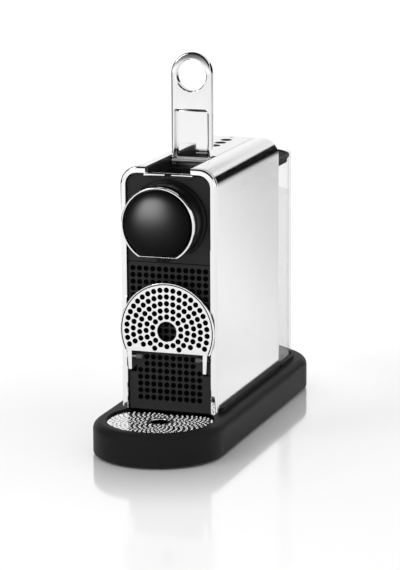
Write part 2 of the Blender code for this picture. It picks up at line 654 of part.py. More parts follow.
def make_chassis():
    """Steel bracket that carries the lever's pin, the piston's guide and the toggle's anchor."""
    inner = CHASSIS_INNER_X
    outer = inner + CHASSIS_SHEET
    front, top_z = -0.0950, 0.2738
    rear = CHASSIS_REAR_Y + CHASSIS_SHEET
    outline = closed_band([(outer, front), (outer, rear)], [(inner, front), (inner, CHASSIS_REAR_Y)])
    chassis = prism("chassis", outline, "Z", PLINTH_TOP_Z + FIT, top_z, SHEET_STEEL)
    ears = []
    for side in (-1, 1):
        ears.append(
            block(
                f"anchor_ear_add_{side + 1}", sorted(side * x for x in CHEEK_X),
                (TOGGLE_ANCHOR_Y - LINK_EYE, CHASSIS_REAR_Y + OVERLAP), (HEAD_Z - LINK_EYE, HEAD_Z + LINK_EYE),
            )
        )
    join(chassis, *ears)
    bin_room_y, bin_room_z = -0.0260, 0.1960
    cut(
        chassis,
        block("bin_room_cut", (-TOO_FAR, TOO_FAR), (-TOO_FAR, bin_room_y), (0.0, bin_room_z)),
        block("button_room_cut", (-0.0230, 0.0230), (0.0200, 0.0400), (0.2620, 0.2900)),
        rod("chassis_pin_cut", LEVER_AXIS.yz, "X", PIN_RADIUS + RUN, -0.05, 0.05),
        rod("anchor_pin_cut", (TOGGLE_ANCHOR_Y, HEAD_Z), "X", PIN_RADIUS + RUN, -0.01, 0.01),
    )
    rod("anchor_pin", (TOGGLE_ANCHOR_Y, HEAD_Z), "X", PIN_RADIUS, -LINK_PIN_HALF, LINK_PIN_HALF, SHEET_STEEL)
    guide_bore, guide_radius, guide_y = PISTON_RADIUS + 0.0004, 0.0233, (-0.0420, -0.0100)
    turned(
        "piston_guide",
        [(guide_bore, guide_y[0]), (guide_radius, guide_y[0]), (guide_radius, guide_y[1]), (guide_bore, guide_y[1])],
        (0.0, HEAD_Z), "Y", GREY, 24,
    )


def make_piston():
    cup, cup_floor = 0.0188, 0.0120
    lip_y = PISTON_FRONT_Y
    piston = turned(
        "brew_piston",
        [
            (0.0, lip_y + 0.0220), (cup_floor, lip_y + 0.0200), (cup, lip_y), (PISTON_RADIUS, lip_y),
            (PISTON_RADIUS, PISTON_REAR_Y), (0.0, PISTON_REAR_Y),
        ],
        (0.0, HEAD_Z), "Y", ALUMINIUM, 28,
    )
    tongue = block(
        "piston_tongue_add", (-TONGUE_X, TONGUE_X), (PISTON_REAR_Y - OVERLAP, PISTON_PIN_Y + LINK_EYE),
        (HEAD_Z - LINK_EYE, HEAD_Z + LINK_EYE),
    )
    join(piston, tongue)
    cut(piston, rod("piston_pin_cut", (PISTON_PIN_Y, HEAD_Z), "X", PIN_RADIUS + RUN, -0.01, 0.01))
    pin = rod("piston_pin", (PISTON_PIN_Y, HEAD_Z), "X", PIN_RADIUS, -LINK_PIN_HALF, LINK_PIN_HALF, SHEET_STEEL)
    seal_inner, seal_outer, seal_front_y = 0.0191, 0.0206, lip_y - 0.0019
    seal = turned(
        "capsule_seal",
        [(seal_inner, seal_front_y), (seal_outer, seal_front_y), (seal_outer, lip_y - FIT),
         (seal_inner, lip_y - FIT)],
        (0.0, HEAD_Z), "Y", SILICONE, 20,
    )
    hang(pivot("piston_axis", (0.0, PISTON_PIN_Y, HEAD_Z)), piston, pin, seal)


def link_plate(name, start, angle, xs, look=None):
    """A flat link with an eye at its start and one TOGGLE_LENGTH away, in the YZ plane."""
    degrees = math.degrees(angle)
    end = (start[0] + TOGGLE_LENGTH * math.cos(angle), start[1] + TOGGLE_LENGTH * math.sin(angle))
    outline = arc(start, LINK_EYE, degrees + 90.0, degrees + 270.0, 8)
    outline += arc(end, LINK_EYE, degrees - 90.0, degrees + 90.0, 8)
    return prism(name, outline, "X", xs[0], xs[1], look)


def make_toggle():
    """The toggle at its folded rest; the knuckle where its two links meet has no pin of its own."""
    anchor = (TOGGLE_ANCHOR_Y, HEAD_Z)
    rear = link_plate("toggle_rear_link", anchor, math.pi - TOGGLE_FOLD, (-TONGUE_X, TONGUE_X), SHEET_STEEL)
    cut(rear, rod("rear_link_pin_cut", anchor, "X", PIN_RADIUS + RUN, -0.02, 0.02))
    hang(pivot("toggle_rear_axis", (0.0, *anchor)), rear)

    start = (PISTON_PIN_Y, HEAD_Z)
    front = link_plate("toggle_front_link", start, TOGGLE_FOLD, (-CHEEK_X[1], -CHEEK_X[0]), SHEET_STEEL)
    other_cheek = link_plate("front_cheek_add", start, TOGGLE_FOLD, CHEEK_X)
    degrees = math.degrees(TOGGLE_FOLD)
    web_start, web_end, web_half_width, web_half_x = 0.0080, 0.0125, 0.0030, 0.0050
    web = []
    for place in (web_start, web_end):
        middle = (start[0] + place * math.cos(TOGGLE_FOLD), start[1] + place * math.sin(TOGGLE_FOLD))
        ends = arc(middle, web_half_width, degrees - 90.0, degrees + 90.0, 1)
        web.extend(ends if place == web_start else reversed(ends))
    join(front, prism("front_web_add", web, "X", -web_half_x, web_half_x), other_cheek)
    cut(front, rod("front_link_pin_cut", start, "X", PIN_RADIUS + RUN, -0.02, 0.02))
    hang(pivot("toggle_front_axis", (0.0, *start)), front)


# ---------------------------------------------------------------- water system and controls, inside
def make_insides():
    pump_centre, pump_radius = (0.0, 0.0660), 0.0150
    rod("pump_body", pump_centre, "Y", pump_radius, 0.0350, 0.0930, GREY, 24)
    coil_bore, coil_radius, coil_y = pump_radius + FIT, 0.0210, (0.0480, 0.0760)
    turned(
        "pump_coil",
        [(coil_bore, coil_y[0]), (coil_radius, coil_y[0]), (coil_radius, coil_y[1]), (coil_bore, coil_y[1])],
        pump_centre, "Y", COPPER, 24,
    )
    heater_outline = rounded_box((-0.0250, 0.1080), (0.0250, 0.1560), 0.0080)
    heater = prism("thermoblock", heater_outline, "Y", 0.0340, 0.0880, ALUMINIUM)
    soften(heater, 0.0020, 1, 60.0)
    rod("flow_meter", (0.0620, 0.1900), "X", 0.0130, -0.0390, -0.0300, GREY)
    block("control_board", (0.0310, 0.0326), (0.0360, 0.0900), (0.1720, 0.2480), BOARD)
    hose("water_hose", ((0.0, 0.0840, 0.0818), (-0.0060, 0.0840, 0.0930), (-0.0300, 0.0820, 0.0990),
                        (-0.0345, 0.0760, 0.1250), (-0.0345, 0.0660, 0.1550), (-0.0345, 0.0620, 0.1765)))
    hose("brew_hose", ((0.0, 0.0500, 0.1565), (0.0, 0.0470, 0.1720), (0.0, 0.0390, 0.1860), (0.0, 0.0345, 0.2060)))


def hose(name, route):
    """A silicone hose: a round tube along a smooth curve through the route."""
    radius = 0.0030
    between = 3
    ends = (Vector(route[0]), *map(Vector, route), Vector(route[-1]))
    points = []
    for a, b, c, d in zip(ends, ends[1:], ends[2:], ends[3:]):
        for step in range(between):
            t = step / between
            points.append(0.5 * ((2 * b) + (c - a) * t + (2 * a - 5 * b + 4 * c - d) * t ** 2
                                 + (3 * b - a - 3 * c + d) * t ** 3))
    points.append(Vector(route[-1]))
    curve = bpy.data.curves.new(name, "CURVE")
    curve.dimensions = "3D"
    curve.bevel_depth = radius
    curve.bevel_resolution = 2
    curve.use_fill_caps = True
    spline = curve.splines.new("POLY")
    spline.points.add(len(points) - 1)
    for knot, point in zip(spline.points, points):
        knot.co = (*point, 1.0)
    curve.materials.append(SILICONE)
    bpy.context.scene.collection.objects.link(bpy.data.objects.new(name, curve))


# ---------------------------------------------------------------- drip unit with its capsule bin
def make_drip_unit():
    axis = pivot("drip_unit_axis", (0.0, BASE_SEAM_Y, 0.0))
    centre = (0.0, -BASE_END_Y)
    deck_z = GRID_TOP_Z - GRID_THICK - FIT
    tray = stadium_body("drip_tray", BLACK)
    low_z = PLATE_TOP_Z + 0.0006
    joined_y = -0.1300
    cut(tray, block("tray_seam_cut", (-0.2, 0.2), (BASE_SEAM_Y - 0.0001, 0.5), (-0.1, 0.1)))
    join(
        tray,
        rod("tray_back_add", centre, "Z", TRAY_BACK_RADIUS, low_z, deck_z, steps=48),
        block("tongue_add", (-TONGUE_HALF_X, TONGUE_HALF_X), (joined_y, TONGUE_REAR_Y), (low_z, deck_z)),
    )
    wall, floor, above = 0.0023, 0.0030, 0.0600
    under_radius, under_rear_y = BASE_RADIUS - 0.0050, BASE_SEAM_Y - 0.0040
    under = [(x, min(y, under_rear_y)) for x, y in arc(centre, under_radius, 180.0, 360.0, 24)]
    cut(
        tray,
        rod("grid_seat_cut", centre, "Z", GRID_RADIUS + FIT, deck_z, above, steps=48),
        rod("basin_cut", centre, "Z", BASIN_RADIUS, BASIN_FLOOR_Z, above, steps=48),
        block(
            "trough_cut", (wall - TONGUE_HALF_X, TONGUE_HALF_X - wall), (-0.1280, TONGUE_REAR_Y - wall),
            (BASIN_FLOOR_Z, above),
        ),
        prism("tray_under_cut", under, "Z", -0.01, BASIN_FLOOR_Z - floor),
    )

    capsule_bin = block("capsule_bin", (-BIN_HALF_X, BIN_HALF_X), BIN_Y, (deck_z + FIT, BIN_TOP_Z), BLACK)
    bin_wall = 0.0020
    cut(
        capsule_bin,
        block(
            "bin_inside_cut", (bin_wall - BIN_HALF_X, BIN_HALF_X - bin_wall),
            (BIN_Y[0] + bin_wall, BIN_Y[1] - bin_wall),
            (deck_z + FIT + bin_wall, 0.2),
        ),
    )

    rear_y = PANEL_FRONT_Y + PANEL_THICK
    panel = block(
        "lower_front_panel", (-PANEL_HALF_X, PANEL_HALF_X), (PANEL_FRONT_Y, -0.0850), (0.0340, SEAM_Z - FIT), CHARCOAL
    )
    flange = 0.0020
    cut(
        panel,
        block(
            "panel_back_cut", (flange - PANEL_HALF_X, PANEL_HALF_X - flange), (rear_y, 0.0),
            (0.0, SEAM_Z - FIT - flange),
        ),
    )
    pocket_y, pocket_top_z = (-0.1200, -0.0950), 0.0965
    pivot_pocket_x, pivot_pocket_z = 0.0265, 0.0795
    leg_pocket_x, leg_pocket_z = 0.0345, 0.0713
    past_edge_x = PANEL_HALF_X + 0.0014
    for side in (-1, 1):
        pivot_xs = sorted((side * pivot_pocket_x, side * past_edge_x))
        leg_xs = sorted((side * leg_pocket_x, side * past_edge_x))
        cut(
            panel,
            block(f"pivot_pocket_cut_{side + 1}", pivot_xs, pocket_y, (pivot_pocket_z, pocket_top_z)),
            block(f"leg_pocket_cut_{side + 1}", leg_xs, pocket_y, (leg_pocket_z, pocket_top_z)),
        )
    hang(axis, tray, capsule_bin, panel)

    sleeve_x, sleeve_radius = (0.0278, 0.0335), 0.0024
    arm_half_z = 0.5 * sleeve_radius
    plate_x, plate_y, plate_z = (0.0240, 0.0400), (-0.0960, -0.0940), (0.0720, 0.0960)
    for side, label in ((-1, "left"), (1, "right")):
        low, high = sorted(side * x for x in sleeve_x)
        sleeve = rod(f"pivot_bracket_{label}", SUPPORT_AXIS.yz, "X", sleeve_radius, low, high, GREY, 20)
        arm_z = (SUPPORT_AXIS.z - arm_half_z, SUPPORT_AXIS.z + arm_half_z)
        join(
            sleeve,
            block(f"bracket_arm_add_{label}", (low, high), (SUPPORT_AXIS.y, plate_y[0] + OVERLAP), arm_z),
            block(f"bracket_plate_add_{label}", sorted(side * x for x in plate_x), plate_y, plate_z),
        )
        bore = rod(f"bracket_bore_cut_{label}", SUPPORT_AXIS.yz, "X", SUPPORT_PIN_RADIUS + RUN, -0.06, 0.06, steps=16)
        cut(sleeve, bore)
        hang(axis, sleeve)
    return axis


def make_drip_grid(unit_axis):
    """The steel disc over the drip tray; its rear edge is straight, under the front panel."""
    gap, side_gap, chamfer, finger_hole_radius = 0.0004, 0.0005, 0.0015, 0.0100
    step_y = BODY_FRONT_Y - gap
    rear_y = PANEL_FRONT_Y - gap
    step_x = BODY_HALF_X - FRAME_BAND - side_gap
    reach = math.degrees(math.asin((step_y + BASE_END_Y) / GRID_RADIUS))
    outline = arc((0.0, -BASE_END_Y), GRID_RADIUS, 180.0 - reach, 360.0 + reach, 40)
    outline += [(step_x, step_y), (step_x - chamfer, rear_y), (chamfer - step_x, rear_y), (-step_x, step_y)]
    grid = prism("drip_grid", outline, "Z", GRID_TOP_Z - GRID_THICK, GRID_TOP_Z, STEEL)
    cut(grid, rod("grid_finger_cut", (0.0, -BASE_END_Y), "Z", finger_hole_radius, 0.0, 0.06, steps=24))
    grid_axis = pivot("drip_grid_axis", (0.0, -BASE_END_Y, GRID_TOP_Z))
    hang(unit_axis, grid_axis)
    grid.parent = grid_axis
    grid.matrix_parent_inverse = Matrix.Translation((0.0, BASE_END_Y, -GRID_TOP_Z))


def make_cup_support(unit_axis):
    """The perforated plate, folded up; its two legs swing back into the panel's pockets."""
    rear_y = SUPPORT_FRONT_Y + SUPPORT_THICK
    drop = SUPPORT_Z - SUPPORT_FLAT_Z
    reach = math.degrees(math.asin(drop / SUPPORT_RADIUS))
    disc = prism(
        "cup_support", arc((0.0, SUPPORT_Z), SUPPORT_RADIUS, -reach, 180.0 + reach, 44), "Y",
        SUPPORT_FRONT_Y, rear_y, CHROME,
    )
    inner, outer = SUPPORT_LEG_X
    foot_z, leg_top_z, leg_taper = SUPPORT_LEG_BOTTOM_Z, SUPPORT_FLAT_Z + 0.0030, 0.0013
    ear_half = 0.0027
    for side in (-1, 1):
        leg = [(side * inner, foot_z), (side * (outer - leg_taper), foot_z), (side * outer, leg_top_z),
               (side * inner, leg_top_z)]
        ear_x = sorted((side * inner, side * (outer - 0.0009)))
        join(
            disc,
            prism(f"support_leg_add_{side + 1}", leg, "Y", SUPPORT_FRONT_Y, rear_y),
            block(
                f"support_ear_add_{side + 1}", ear_x, (rear_y - OVERLAP, SUPPORT_AXIS.y + ear_half),
                (SUPPORT_AXIS.z - ear_half, SUPPORT_AXIS.z + ear_half),
            ),
        )
    pin = SUPPORT_PIN_RADIUS
    pin_x = (0.0284, 0.0402)
    cut(
        disc,
        rod("support_hole_cut", (0.0, SUPPORT_Z), "Y", SUPPORT_HOLE_RADIUS, -0.13, -0.1, steps=32),
        rod("support_pin_cut", SUPPORT_AXIS.yz, "X", pin + RUN, -0.06, 0.06, steps=16),
    )
    axis = pivot("cup_support_axis", SUPPORT_AXIS)
    hang(unit_axis, axis)
    pieces = [disc]
    for side, label in ((-1, "left"), (1, "right")):
        low, high = sorted(side * x for x in pin_x)
        pieces.append(rod(f"support_pin_{label}", SUPPORT_AXIS.yz, "X", pin, low, high, SHEET_STEEL, 16))
    for piece in pieces:
        piece.parent = axis
        piece.matrix_parent_inverse = Matrix.Translation(-SUPPORT_AXIS)


# ---------------------------------------------------------------- water tank
def make_tank():
    tank = prism("water_tank", tank_outline(0.0), "Z", TANK_BOTTOM_Z, TANK_TOP_Z, CLEAR)
    floor_z = TANK_BOTTOM_Z + 0.0026
    neck_low_z, above = 0.2400, 0.2600
    neck_step, rim_step = 0.0014, 0.0006
    stem = 0.0044
    cut(
        tank,
        prism("tank_room_cut", tank_outline(TANK_WALL), "Z", floor_z, TANK_LEDGE_Z - 0.0030),
        prism("tank_neck_cut", tank_outline(TANK_WALL + neck_step), "Z", neck_low_z, above),
        prism("tank_rim_cut", tank_outline(TANK_WALL - rim_step), "Z", TANK_LEDGE_Z, above),
        rod("tank_outlet_cut", (0.0, VALVE_Y), "Z", stem + FIT, 0.0, 0.0500, steps=24),
    )
    tip, tip_z, tip_edge = 0.0030, 0.0290, 0.0014
    flange, flange_z, cap_z = 0.0080, (floor_z + FIT, 0.0400), 0.0440
    valve = turned(
        "tank_valve",
        [(0.0, tip_z), (tip, tip_z), (stem, tip_z + tip_edge), (stem, flange_z[0]), (flange, flange_z[0]),
         (flange, flange_z[1]), (stem, cap_z), (0.0, cap_z)],
        (0.0, VALVE_Y), "Z", GREY, 24,
    )
    axis = pivot("tank_axis", (0.0, VALVE_Y, TANK_BOTTOM_Z))
    hang(axis, tank, valve)

    lid_top_z, plug_bottom_z = 0.2518, 0.2440
    lid = prism("tank_lid", tank_outline(TANK_WALL - 0.0002), "Z", TANK_LEDGE_Z + FIT, lid_top_z, CHARCOAL)
    plug = prism("lid_plug_add", tank_outline(TANK_WALL + 0.0020), "Z", plug_bottom_z, TANK_LEDGE_Z + 0.0015)
    join(lid, plug)
    lid_axis = pivot("tank_lid_axis", (0.0, VALVE_Y, TANK_LEDGE_Z))
    hang(axis, lid_axis)
    lid.parent = lid_axis
    lid.matrix_parent_inverse = Matrix.Translation((0.0, -VALVE_Y, -TANK_LEDGE_Z))


# ---------------------------------------------------------------- buttons
def make_buttons():
    flange = BUTTON_RADIUS + 0.0012
    flange_top = LID_BOTTOM_Z - FIT
    flange_bottom = flange_top - 0.0018
    stem, stem_z = 0.0016, 0.2696
    edge = 0.0006
    for number, y in enumerate(BUTTON_YS, start=1):
        button = turned(
            f"button_{number}",
            [
                (0.0, stem_z), (stem, stem_z), (stem, flange_bottom), (flange, flange_bottom),
                (flange, flange_top), (BUTTON_RADIUS, flange_top), (BUTTON_RADIUS, BODY_TOP_Z + 0.0001),
                (BUTTON_RADIUS - edge, BODY_TOP_Z + edge), (0.0, BODY_TOP_Z + 0.0008),
            ],
            (0.0, y), "Z", CHARCOAL, 24,
        )
        hang(pivot(f"button_{number}_axis", (0.0, y, BODY_TOP_Z)), button)


make_base()
make_side_panels()
make_front_frame()
make_front_panel()
make_rear_cover()
make_recess()
make_top_lid()
make_head()
make_lever()
make_chassis()
make_piston()
make_toggle()
make_insides()
drip_unit = make_drip_unit()
make_drip_grid(drip_unit)
make_cup_support(drip_unit)
make_tank()
make_buttons()
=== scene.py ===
"""Looks of a pod coffee machine: polished steel body, chrome trim, black mouldings and a clear tank.

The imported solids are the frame. What can be seen is built again here as fine meshes in the same
places, and every piece gets a procedural material. Metres, +Z up, the machine's front faces -Y.
"""

import json
import math

import bmesh
import bpy
from mathutils import Matrix, Vector
from mathutils.geometry import delaunay_2d_cdt


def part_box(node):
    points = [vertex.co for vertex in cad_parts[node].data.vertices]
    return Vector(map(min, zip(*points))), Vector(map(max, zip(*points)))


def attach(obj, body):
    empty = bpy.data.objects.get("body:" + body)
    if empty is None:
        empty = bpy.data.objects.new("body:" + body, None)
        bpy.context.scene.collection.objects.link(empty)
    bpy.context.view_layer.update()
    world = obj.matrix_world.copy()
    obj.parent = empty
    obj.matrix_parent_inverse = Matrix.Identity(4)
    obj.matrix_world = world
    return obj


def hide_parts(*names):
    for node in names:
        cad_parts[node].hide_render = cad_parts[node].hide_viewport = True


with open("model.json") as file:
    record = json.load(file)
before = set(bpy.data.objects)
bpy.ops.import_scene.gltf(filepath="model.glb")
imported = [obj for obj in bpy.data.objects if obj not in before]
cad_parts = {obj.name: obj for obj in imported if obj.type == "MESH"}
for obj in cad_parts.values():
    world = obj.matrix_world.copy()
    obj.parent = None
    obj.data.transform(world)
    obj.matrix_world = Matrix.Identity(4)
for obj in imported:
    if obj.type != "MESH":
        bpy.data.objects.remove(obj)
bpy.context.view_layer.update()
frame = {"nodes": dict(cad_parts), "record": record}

TAU = 2.0 * math.pi
MM = 0.001
FAR = 0.5                   # how far a cutting block reaches past the machine
GAP = 0.3 * MM              # between pieces that sit against each other
CUT_LOW_Z, CUT_TOP_Z = -10.0 * MM, 60.0 * MM    # cutting blocks of the base pass both its faces


# ---------------------------------------------------------------- places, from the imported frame
def edges(node):
    """A CAD node's box as (x0, x1), (y0, y1), (z0, z1)."""
    low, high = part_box(node)
    return tuple(zip(low, high))


def middle_of(pair):
    return sum(pair) / 2.0


SHELL_X, SHELL_Y, SHELL_Z = edges("base_shell")
_, TRAY_Y, TRAY_Z = edges("drip_tray")
BASE_RADIUS = SHELL_X[1]
REAR_CENTRE_Y = SHELL_Y[1] - BASE_RADIUS
FRONT_CENTRE_Y = TRAY_Y[0] + BASE_RADIUS
PLINTH_TOP_Z = SHELL_Z[1]
BASE_TOP_Z = TRAY_Z[1]
BASE_LOW_Z = SHELL_Z[0]
SEAM_Y = SHELL_Y[0]

BODY_X, FRAME_Y, BODY_Z = edges("front_frame")
PANEL_X, PANEL_Y, PANEL_Z = edges("upper_front_panel")
BIN_PANEL_X, BIN_PANEL_Y, BIN_PANEL_Z = edges("lower_front_panel")
SIDE_X, SIDE_Y, SIDE_Z = edges("side_panel_right")
STRIP_X, STRIP_Y, STRIP_Z = edges("top_lid")
RECESS_X, RECESS_Y, RECESS_Z = edges("lever_recess")
LATCH_X, LATCH_Y, LATCH_Z = edges("lever_latch")
_, HOUSING_Y, HOUSING_Z = edges("head_housing")
_, RING_Y, _ = edges("head_ring")
_, DOME_Y, _ = edges("head_dome")
_, SPOUT_Y, SPOUT_Z = edges("outlet_spout")
LEVER_X, LEVER_Y, LEVER_Z = edges("lever_handle")
_, PIN_Y, PIN_Z = edges("lever_pin")
_, GRID_Y, GRID_Z = edges("drip_grid")
SUPPORT_X, SUPPORT_Y, SUPPORT_Z = edges("cup_support")
_, SUPPORT_PIN_Y, SUPPORT_PIN_Z = edges("support_pin_right")
TANK_X, TANK_Y, TANK_Z = edges("water_tank")
TANK_LID_Z = edges("tank_lid")[2]

# ---------------------------------------------------------------- sizes that the boxes don't give
SHOULDER = 8.0 * MM         # rounding along the base's top edge
PLINTH_X = 51.5 * MM
PLINTH_Y = (-100.0 * MM, 98.5 * MM)
TANK_WALL = 2.0 * MM
BODY_CORNER = 18.0 * MM
SHEET = 1.2 * MM
BAND = 6.0 * MM
NOTCH_X = SIDE_X[0] - 0.5 * MM
SILL_Z = (266.7 * MM, 270.5 * MM)
HEAD_Z = 225.0 * MM
HEAD_RADIUS = 37.2 * MM
HEAD_FLAT_Z = HOUSING_Z[0]
LEVER_HOLE_Z = 356.6 * MM
LEVER_HOLE_RADIUS = 15.3 * MM
POCKET_X = 17.5 * MM
POCKET_TOP_Z = 322.4 * MM
POCKET_DEPTH = 6.0 * MM
SUPPORT_CENTRE_Z = 115.5 * MM
SUPPORT_RADIUS = SUPPORT_X[1]
SUPPORT_FLAT_Z = 94.0 * MM
SUPPORT_AXIS = Vector((0.0, middle_of(SUPPORT_PIN_Y), middle_of(SUPPORT_PIN_Z)))
LEG_X = (36.6 * MM, 41.3 * MM)
GRID_RADIUS = -GRID_Y[0] + FRONT_CENTRE_Y
FINGER_HOLE_RADIUS = 10.0 * MM
DOT_PITCH = 6.8 * MM        # between the dimples of the front panel
BUTTON_YS = tuple(middle_of(edges(f"button_{n}")[1]) for n in (1, 2, 3))
BUTTON_RADIUS = 5.7 * MM
LEVER_AXIS = Vector((0.0, middle_of(PIN_Y), middle_of(PIN_Z)))
LEVER_BORE = 2.3 * MM       # radius of the holes round the lever's pin
SUPPORT_BORE = 1.5 * MM     # and round the cup support's pins
BRACKET_X = (27.8 * MM, 33.5 * MM)


# ---------------------------------------------------------------- procedural materials
NOISE_SPAN = (0.3, 0.7)     # where most of a noise texture's values lie


def new_look(name, colour, roughness, metallic=0.0, **sockets):
    """A material whose uniform values stand on its own Principled shader."""
    made = bpy.data.materials.new(name)
    made.use_nodes = True
    shader = made.node_tree.nodes["Principled BSDF"]
    shader.inputs["Base Color"].default_value = (*colour, 1.0)
    shader.inputs["Roughness"].default_value = roughness
    shader.inputs["Metallic"].default_value = metallic
    for socket, value in sockets.items():
        shader.inputs[socket.replace("_", " ")].default_value = value
    return made


def add_node(look, kind, *feeds, **values):
    """A shader node in a look's tree, with its values and its (output, input name or number) feeds."""
    made = look.node_tree.nodes.new("ShaderNode" + kind)
    for socket, value in values.items():
        made.inputs[socket.replace("_", " ")].default_value = value
    for output, socket in feeds:
        look.node_tree.links.new(output, made.inputs[socket])
    return made


def feed(look, output, socket, target="Principled BSDF"):
    look.node_tree.links.new(output, look.node_tree.nodes[target].inputs[socket])


def maths(look, operation, first, second):
    """The result of a sum on an output and a number, or on two outputs."""
    if isinstance(second, float):
        step = add_node(look, "Math", (first, 0))
        step.inputs[1].default_value = second
    else:
        step = add_node(look, "Math", (first, 0), (second, 1))
    step.operation = operation
    return step


def set_stops(ramp, stops):
    """The stops of a colour ramp, from (place, colour) pairs."""
    while len(ramp.color_ramp.elements) < len(stops):
        ramp.color_ramp.elements.new(0.5)
    for element, (at, colour) in zip(ramp.color_ramp.elements, stops):
        element.position = at
        element.color = (*colour, 1.0)


def noise(look, scale, detail=3.0, stretch=(1.0, 1.0, 1.0)):
    """The value of a noise texture that stays with the piece as it moves."""
    place = add_node(look, "TexCoord")
    mapping = add_node(look, "Mapping", (place.outputs["Object"], "Vector"), Scale=stretch)
    texture = add_node(look, "TexNoise", (mapping.outputs["Vector"], "Vector"), Scale=scale, Detail=detail)
    return texture.outputs["Fac"]


def vary_roughness(look, value, low, high):
    spread = add_node(look, "MapRange", (value, "Value"), From_Min=NOISE_SPAN[0], From_Max=NOISE_SPAN[1],
                      To_Min=low, To_Max=high)
    feed(look, spread.outputs["Result"], "Roughness")


def vary_colour(look, value, low, high):
    ramp = add_node(look, "ValToRGB", (value, "Fac"))
    set_stops(ramp, tuple(zip(NOISE_SPAN, (low, high))))
    feed(look, ramp.outputs["Color"], "Base Color")


def emboss(look, value, strength, depth):
    bump = add_node(look, "Bump", (value, "Height"), Strength=strength, Distance=depth)
    feed(look, bump.outputs["Normal"], "Normal")


def grey(level):
    return (level, level, level)


def metal(name, level, roughness, spread, grain, stretch=(1.0, 1.0, 1.0), relief=0.02):
    """Polished or drawn metal: fine grain in its roughness, faint waviness and tone."""
    look = new_look(name, grey(level), roughness, 1.0)
    vary_roughness(look, noise(look, grain, 4.0, stretch), roughness - spread, roughness + spread)
    vary_colour(look, noise(look, 35.0, 2.0), grey(level * 0.985), grey(level))
    emboss(look, noise(look, grain, 2.0, stretch), relief, 0.02 * MM)
    return look


def moulded(name, level, roughness, specular, grain=2200.0, relief=0.25, depth=0.03 * MM):
    """Moulded plastic with a fine spark-eroded texture and slightly uneven tone."""
    look = new_look(name, grey(level), roughness, 0.0, Specular_IOR_Level=specular)
    vary_roughness(look, noise(look, 500.0, 4.0), roughness - 0.03, roughness + 0.03)
    vary_colour(look, noise(look, 700.0, 3.0), grey(level * 0.92), grey(level * 1.08))
    emboss(look, noise(look, grain, 2.0), relief, depth)
    return look


CHROME = metal("mirror_chrome", 0.79, 0.05, 0.02, 300.0, relief=0.01)
STEEL = metal("polished_steel", 0.83, 0.085, 0.02, 500.0, (1.0, 0.15, 1.0))
STRIP = metal("light_top_strip", 0.80, 0.22, 0.04, 700.0, (1.0, 0.1, 1.0), 0.05)
BRACKET = metal("bracket_steel", 0.56, 0.38, 0.06, 800.0, (0.2, 1.0, 1.0), 0.2)
ALUMINIUM = metal("cast_aluminium", 0.58, 0.46, 0.08, 900.0, relief=0.5)
CHARCOAL = moulded("charcoal_plastic", 0.022, 0.50, 0.20)
BLACK = moulded("black_plastic", 0.0130, 0.46, 0.05)
# Near black for the insides of the pits, the line round the cup support and the bracket back plates: painted
# shade.
PAINTED_SHADE_BLACK = moulded("painted_shade_black", 0.0008, 0.40, 0.02)
GREY = moulded("grey_plastic", 0.12, 0.50, 0.35)
COVER_GREY = moulded("rear_cover_plastic", 0.045, 0.50, 0.30)
RUBBER = moulded("foot_rubber", 0.012, 0.80, 0.20, 1400.0, 0.5)
SILICONE = moulded("silicone", 0.55, 0.55, 0.40, 900.0, 0.1)
COPPER = metal("copper_winding", 0.50, 0.40, 0.08, 400.0, (8.0, 0.4, 8.0), 0.6)
COPPER.node_tree.nodes["Principled BSDF"].inputs["Specular Tint"].default_value = (0.9, 0.6, 0.4, 1.0)
BOARD = moulded("circuit_board", 0.05, 0.42, 0.40, 1800.0, 0.3)
HEAD_BLACK = moulded("head_black", 0.0035, 0.34, 0.14, 2600.0, 0.1)
GLOSS = new_look("gloss_black", grey(0.0004), 0.31, 0.0, Specular_IOR_Level=0.02)
vary_roughness(GLOSS, noise(GLOSS, 25.0), 0.30, 0.32)
GRID_LOOK = metal("pressed_steel", 0.87, 0.10, 0.03, 400.0)


def tint(look, low, high, scale):
    """Swaps a look's grey tone for a coloured one."""
    shader = look.node_tree.nodes["Principled BSDF"]
    for link in list(shader.inputs["Base Color"].links):
        look.node_tree.links.remove(link)
    vary_colour(look, noise(look, scale, 4.0), low, high)


tint(COPPER, (0.42, 0.17, 0.06), (0.62, 0.28, 0.12), 500.0)
tint(BOARD, (0.012, 0.10, 0.035), (0.03, 0.17, 0.06), 220.0)


WALL_IOR = 1.2              # below clear plastic's 1.49, so that its outline mirrors less of the white room
WALL_EDGE_POWER = 8.0       # how late the wall turns dense towards its outline


def wall_look(name, level, roughness, opacity, edge_opacity):
    """A thin clear wall that grows denser where it is seen edge on; its dark grey colour shows there as a
    painted dark outline.
    """
    look = new_look(name, grey(level), roughness, 0.0, IOR=WALL_IOR)
    vary_roughness(look, noise(look, 30.0), roughness * 0.5, roughness * 1.5)
    edge_on = add_node(look, "LayerWeight", Blend=0.5)
    steep = maths(look, "POWER", edge_on.outputs["Facing"], WALL_EDGE_POWER)
    dense = add_node(look, "MapRange", (steep.outputs["Value"], "Value"), To_Min=opacity, To_Max=edge_opacity)
    feed(look, dense.outputs["Result"], "Alpha")
    return look


# The dark grey 0.12 shows where the wall turns dense at its outline: a painted dark outline along the tank's
# edges.
CLEAR = wall_look("clear_plastic", 0.12, 0.03, 0.02, 0.80)
WATER = new_look("water", (0.97, 0.972, 0.975), 0.10, 0.0, Alpha=0.19, IOR=1.33)
vary_roughness(WATER, noise(WATER, 30.0), 0.05, 0.15)
LID_BLACK = moulded("lid_black", 0.008, 0.50, 0.02)

SLOT_LOOKS = {
    "chrome": CHROME, "polished_steel": STEEL, "bracket_steel": BRACKET, "charcoal_plastic": CHARCOAL,
    "matte_black_plastic": BLACK, "gloss_black": GLOSS, "grey_plastic": GREY, "top_strip": STRIP,
    "rubber": RUBBER, "silicone": SILICONE, "clear_plastic": CLEAR, "aluminium": ALUMINIUM,
    "winding": COPPER, "circuit_board": BOARD,
}


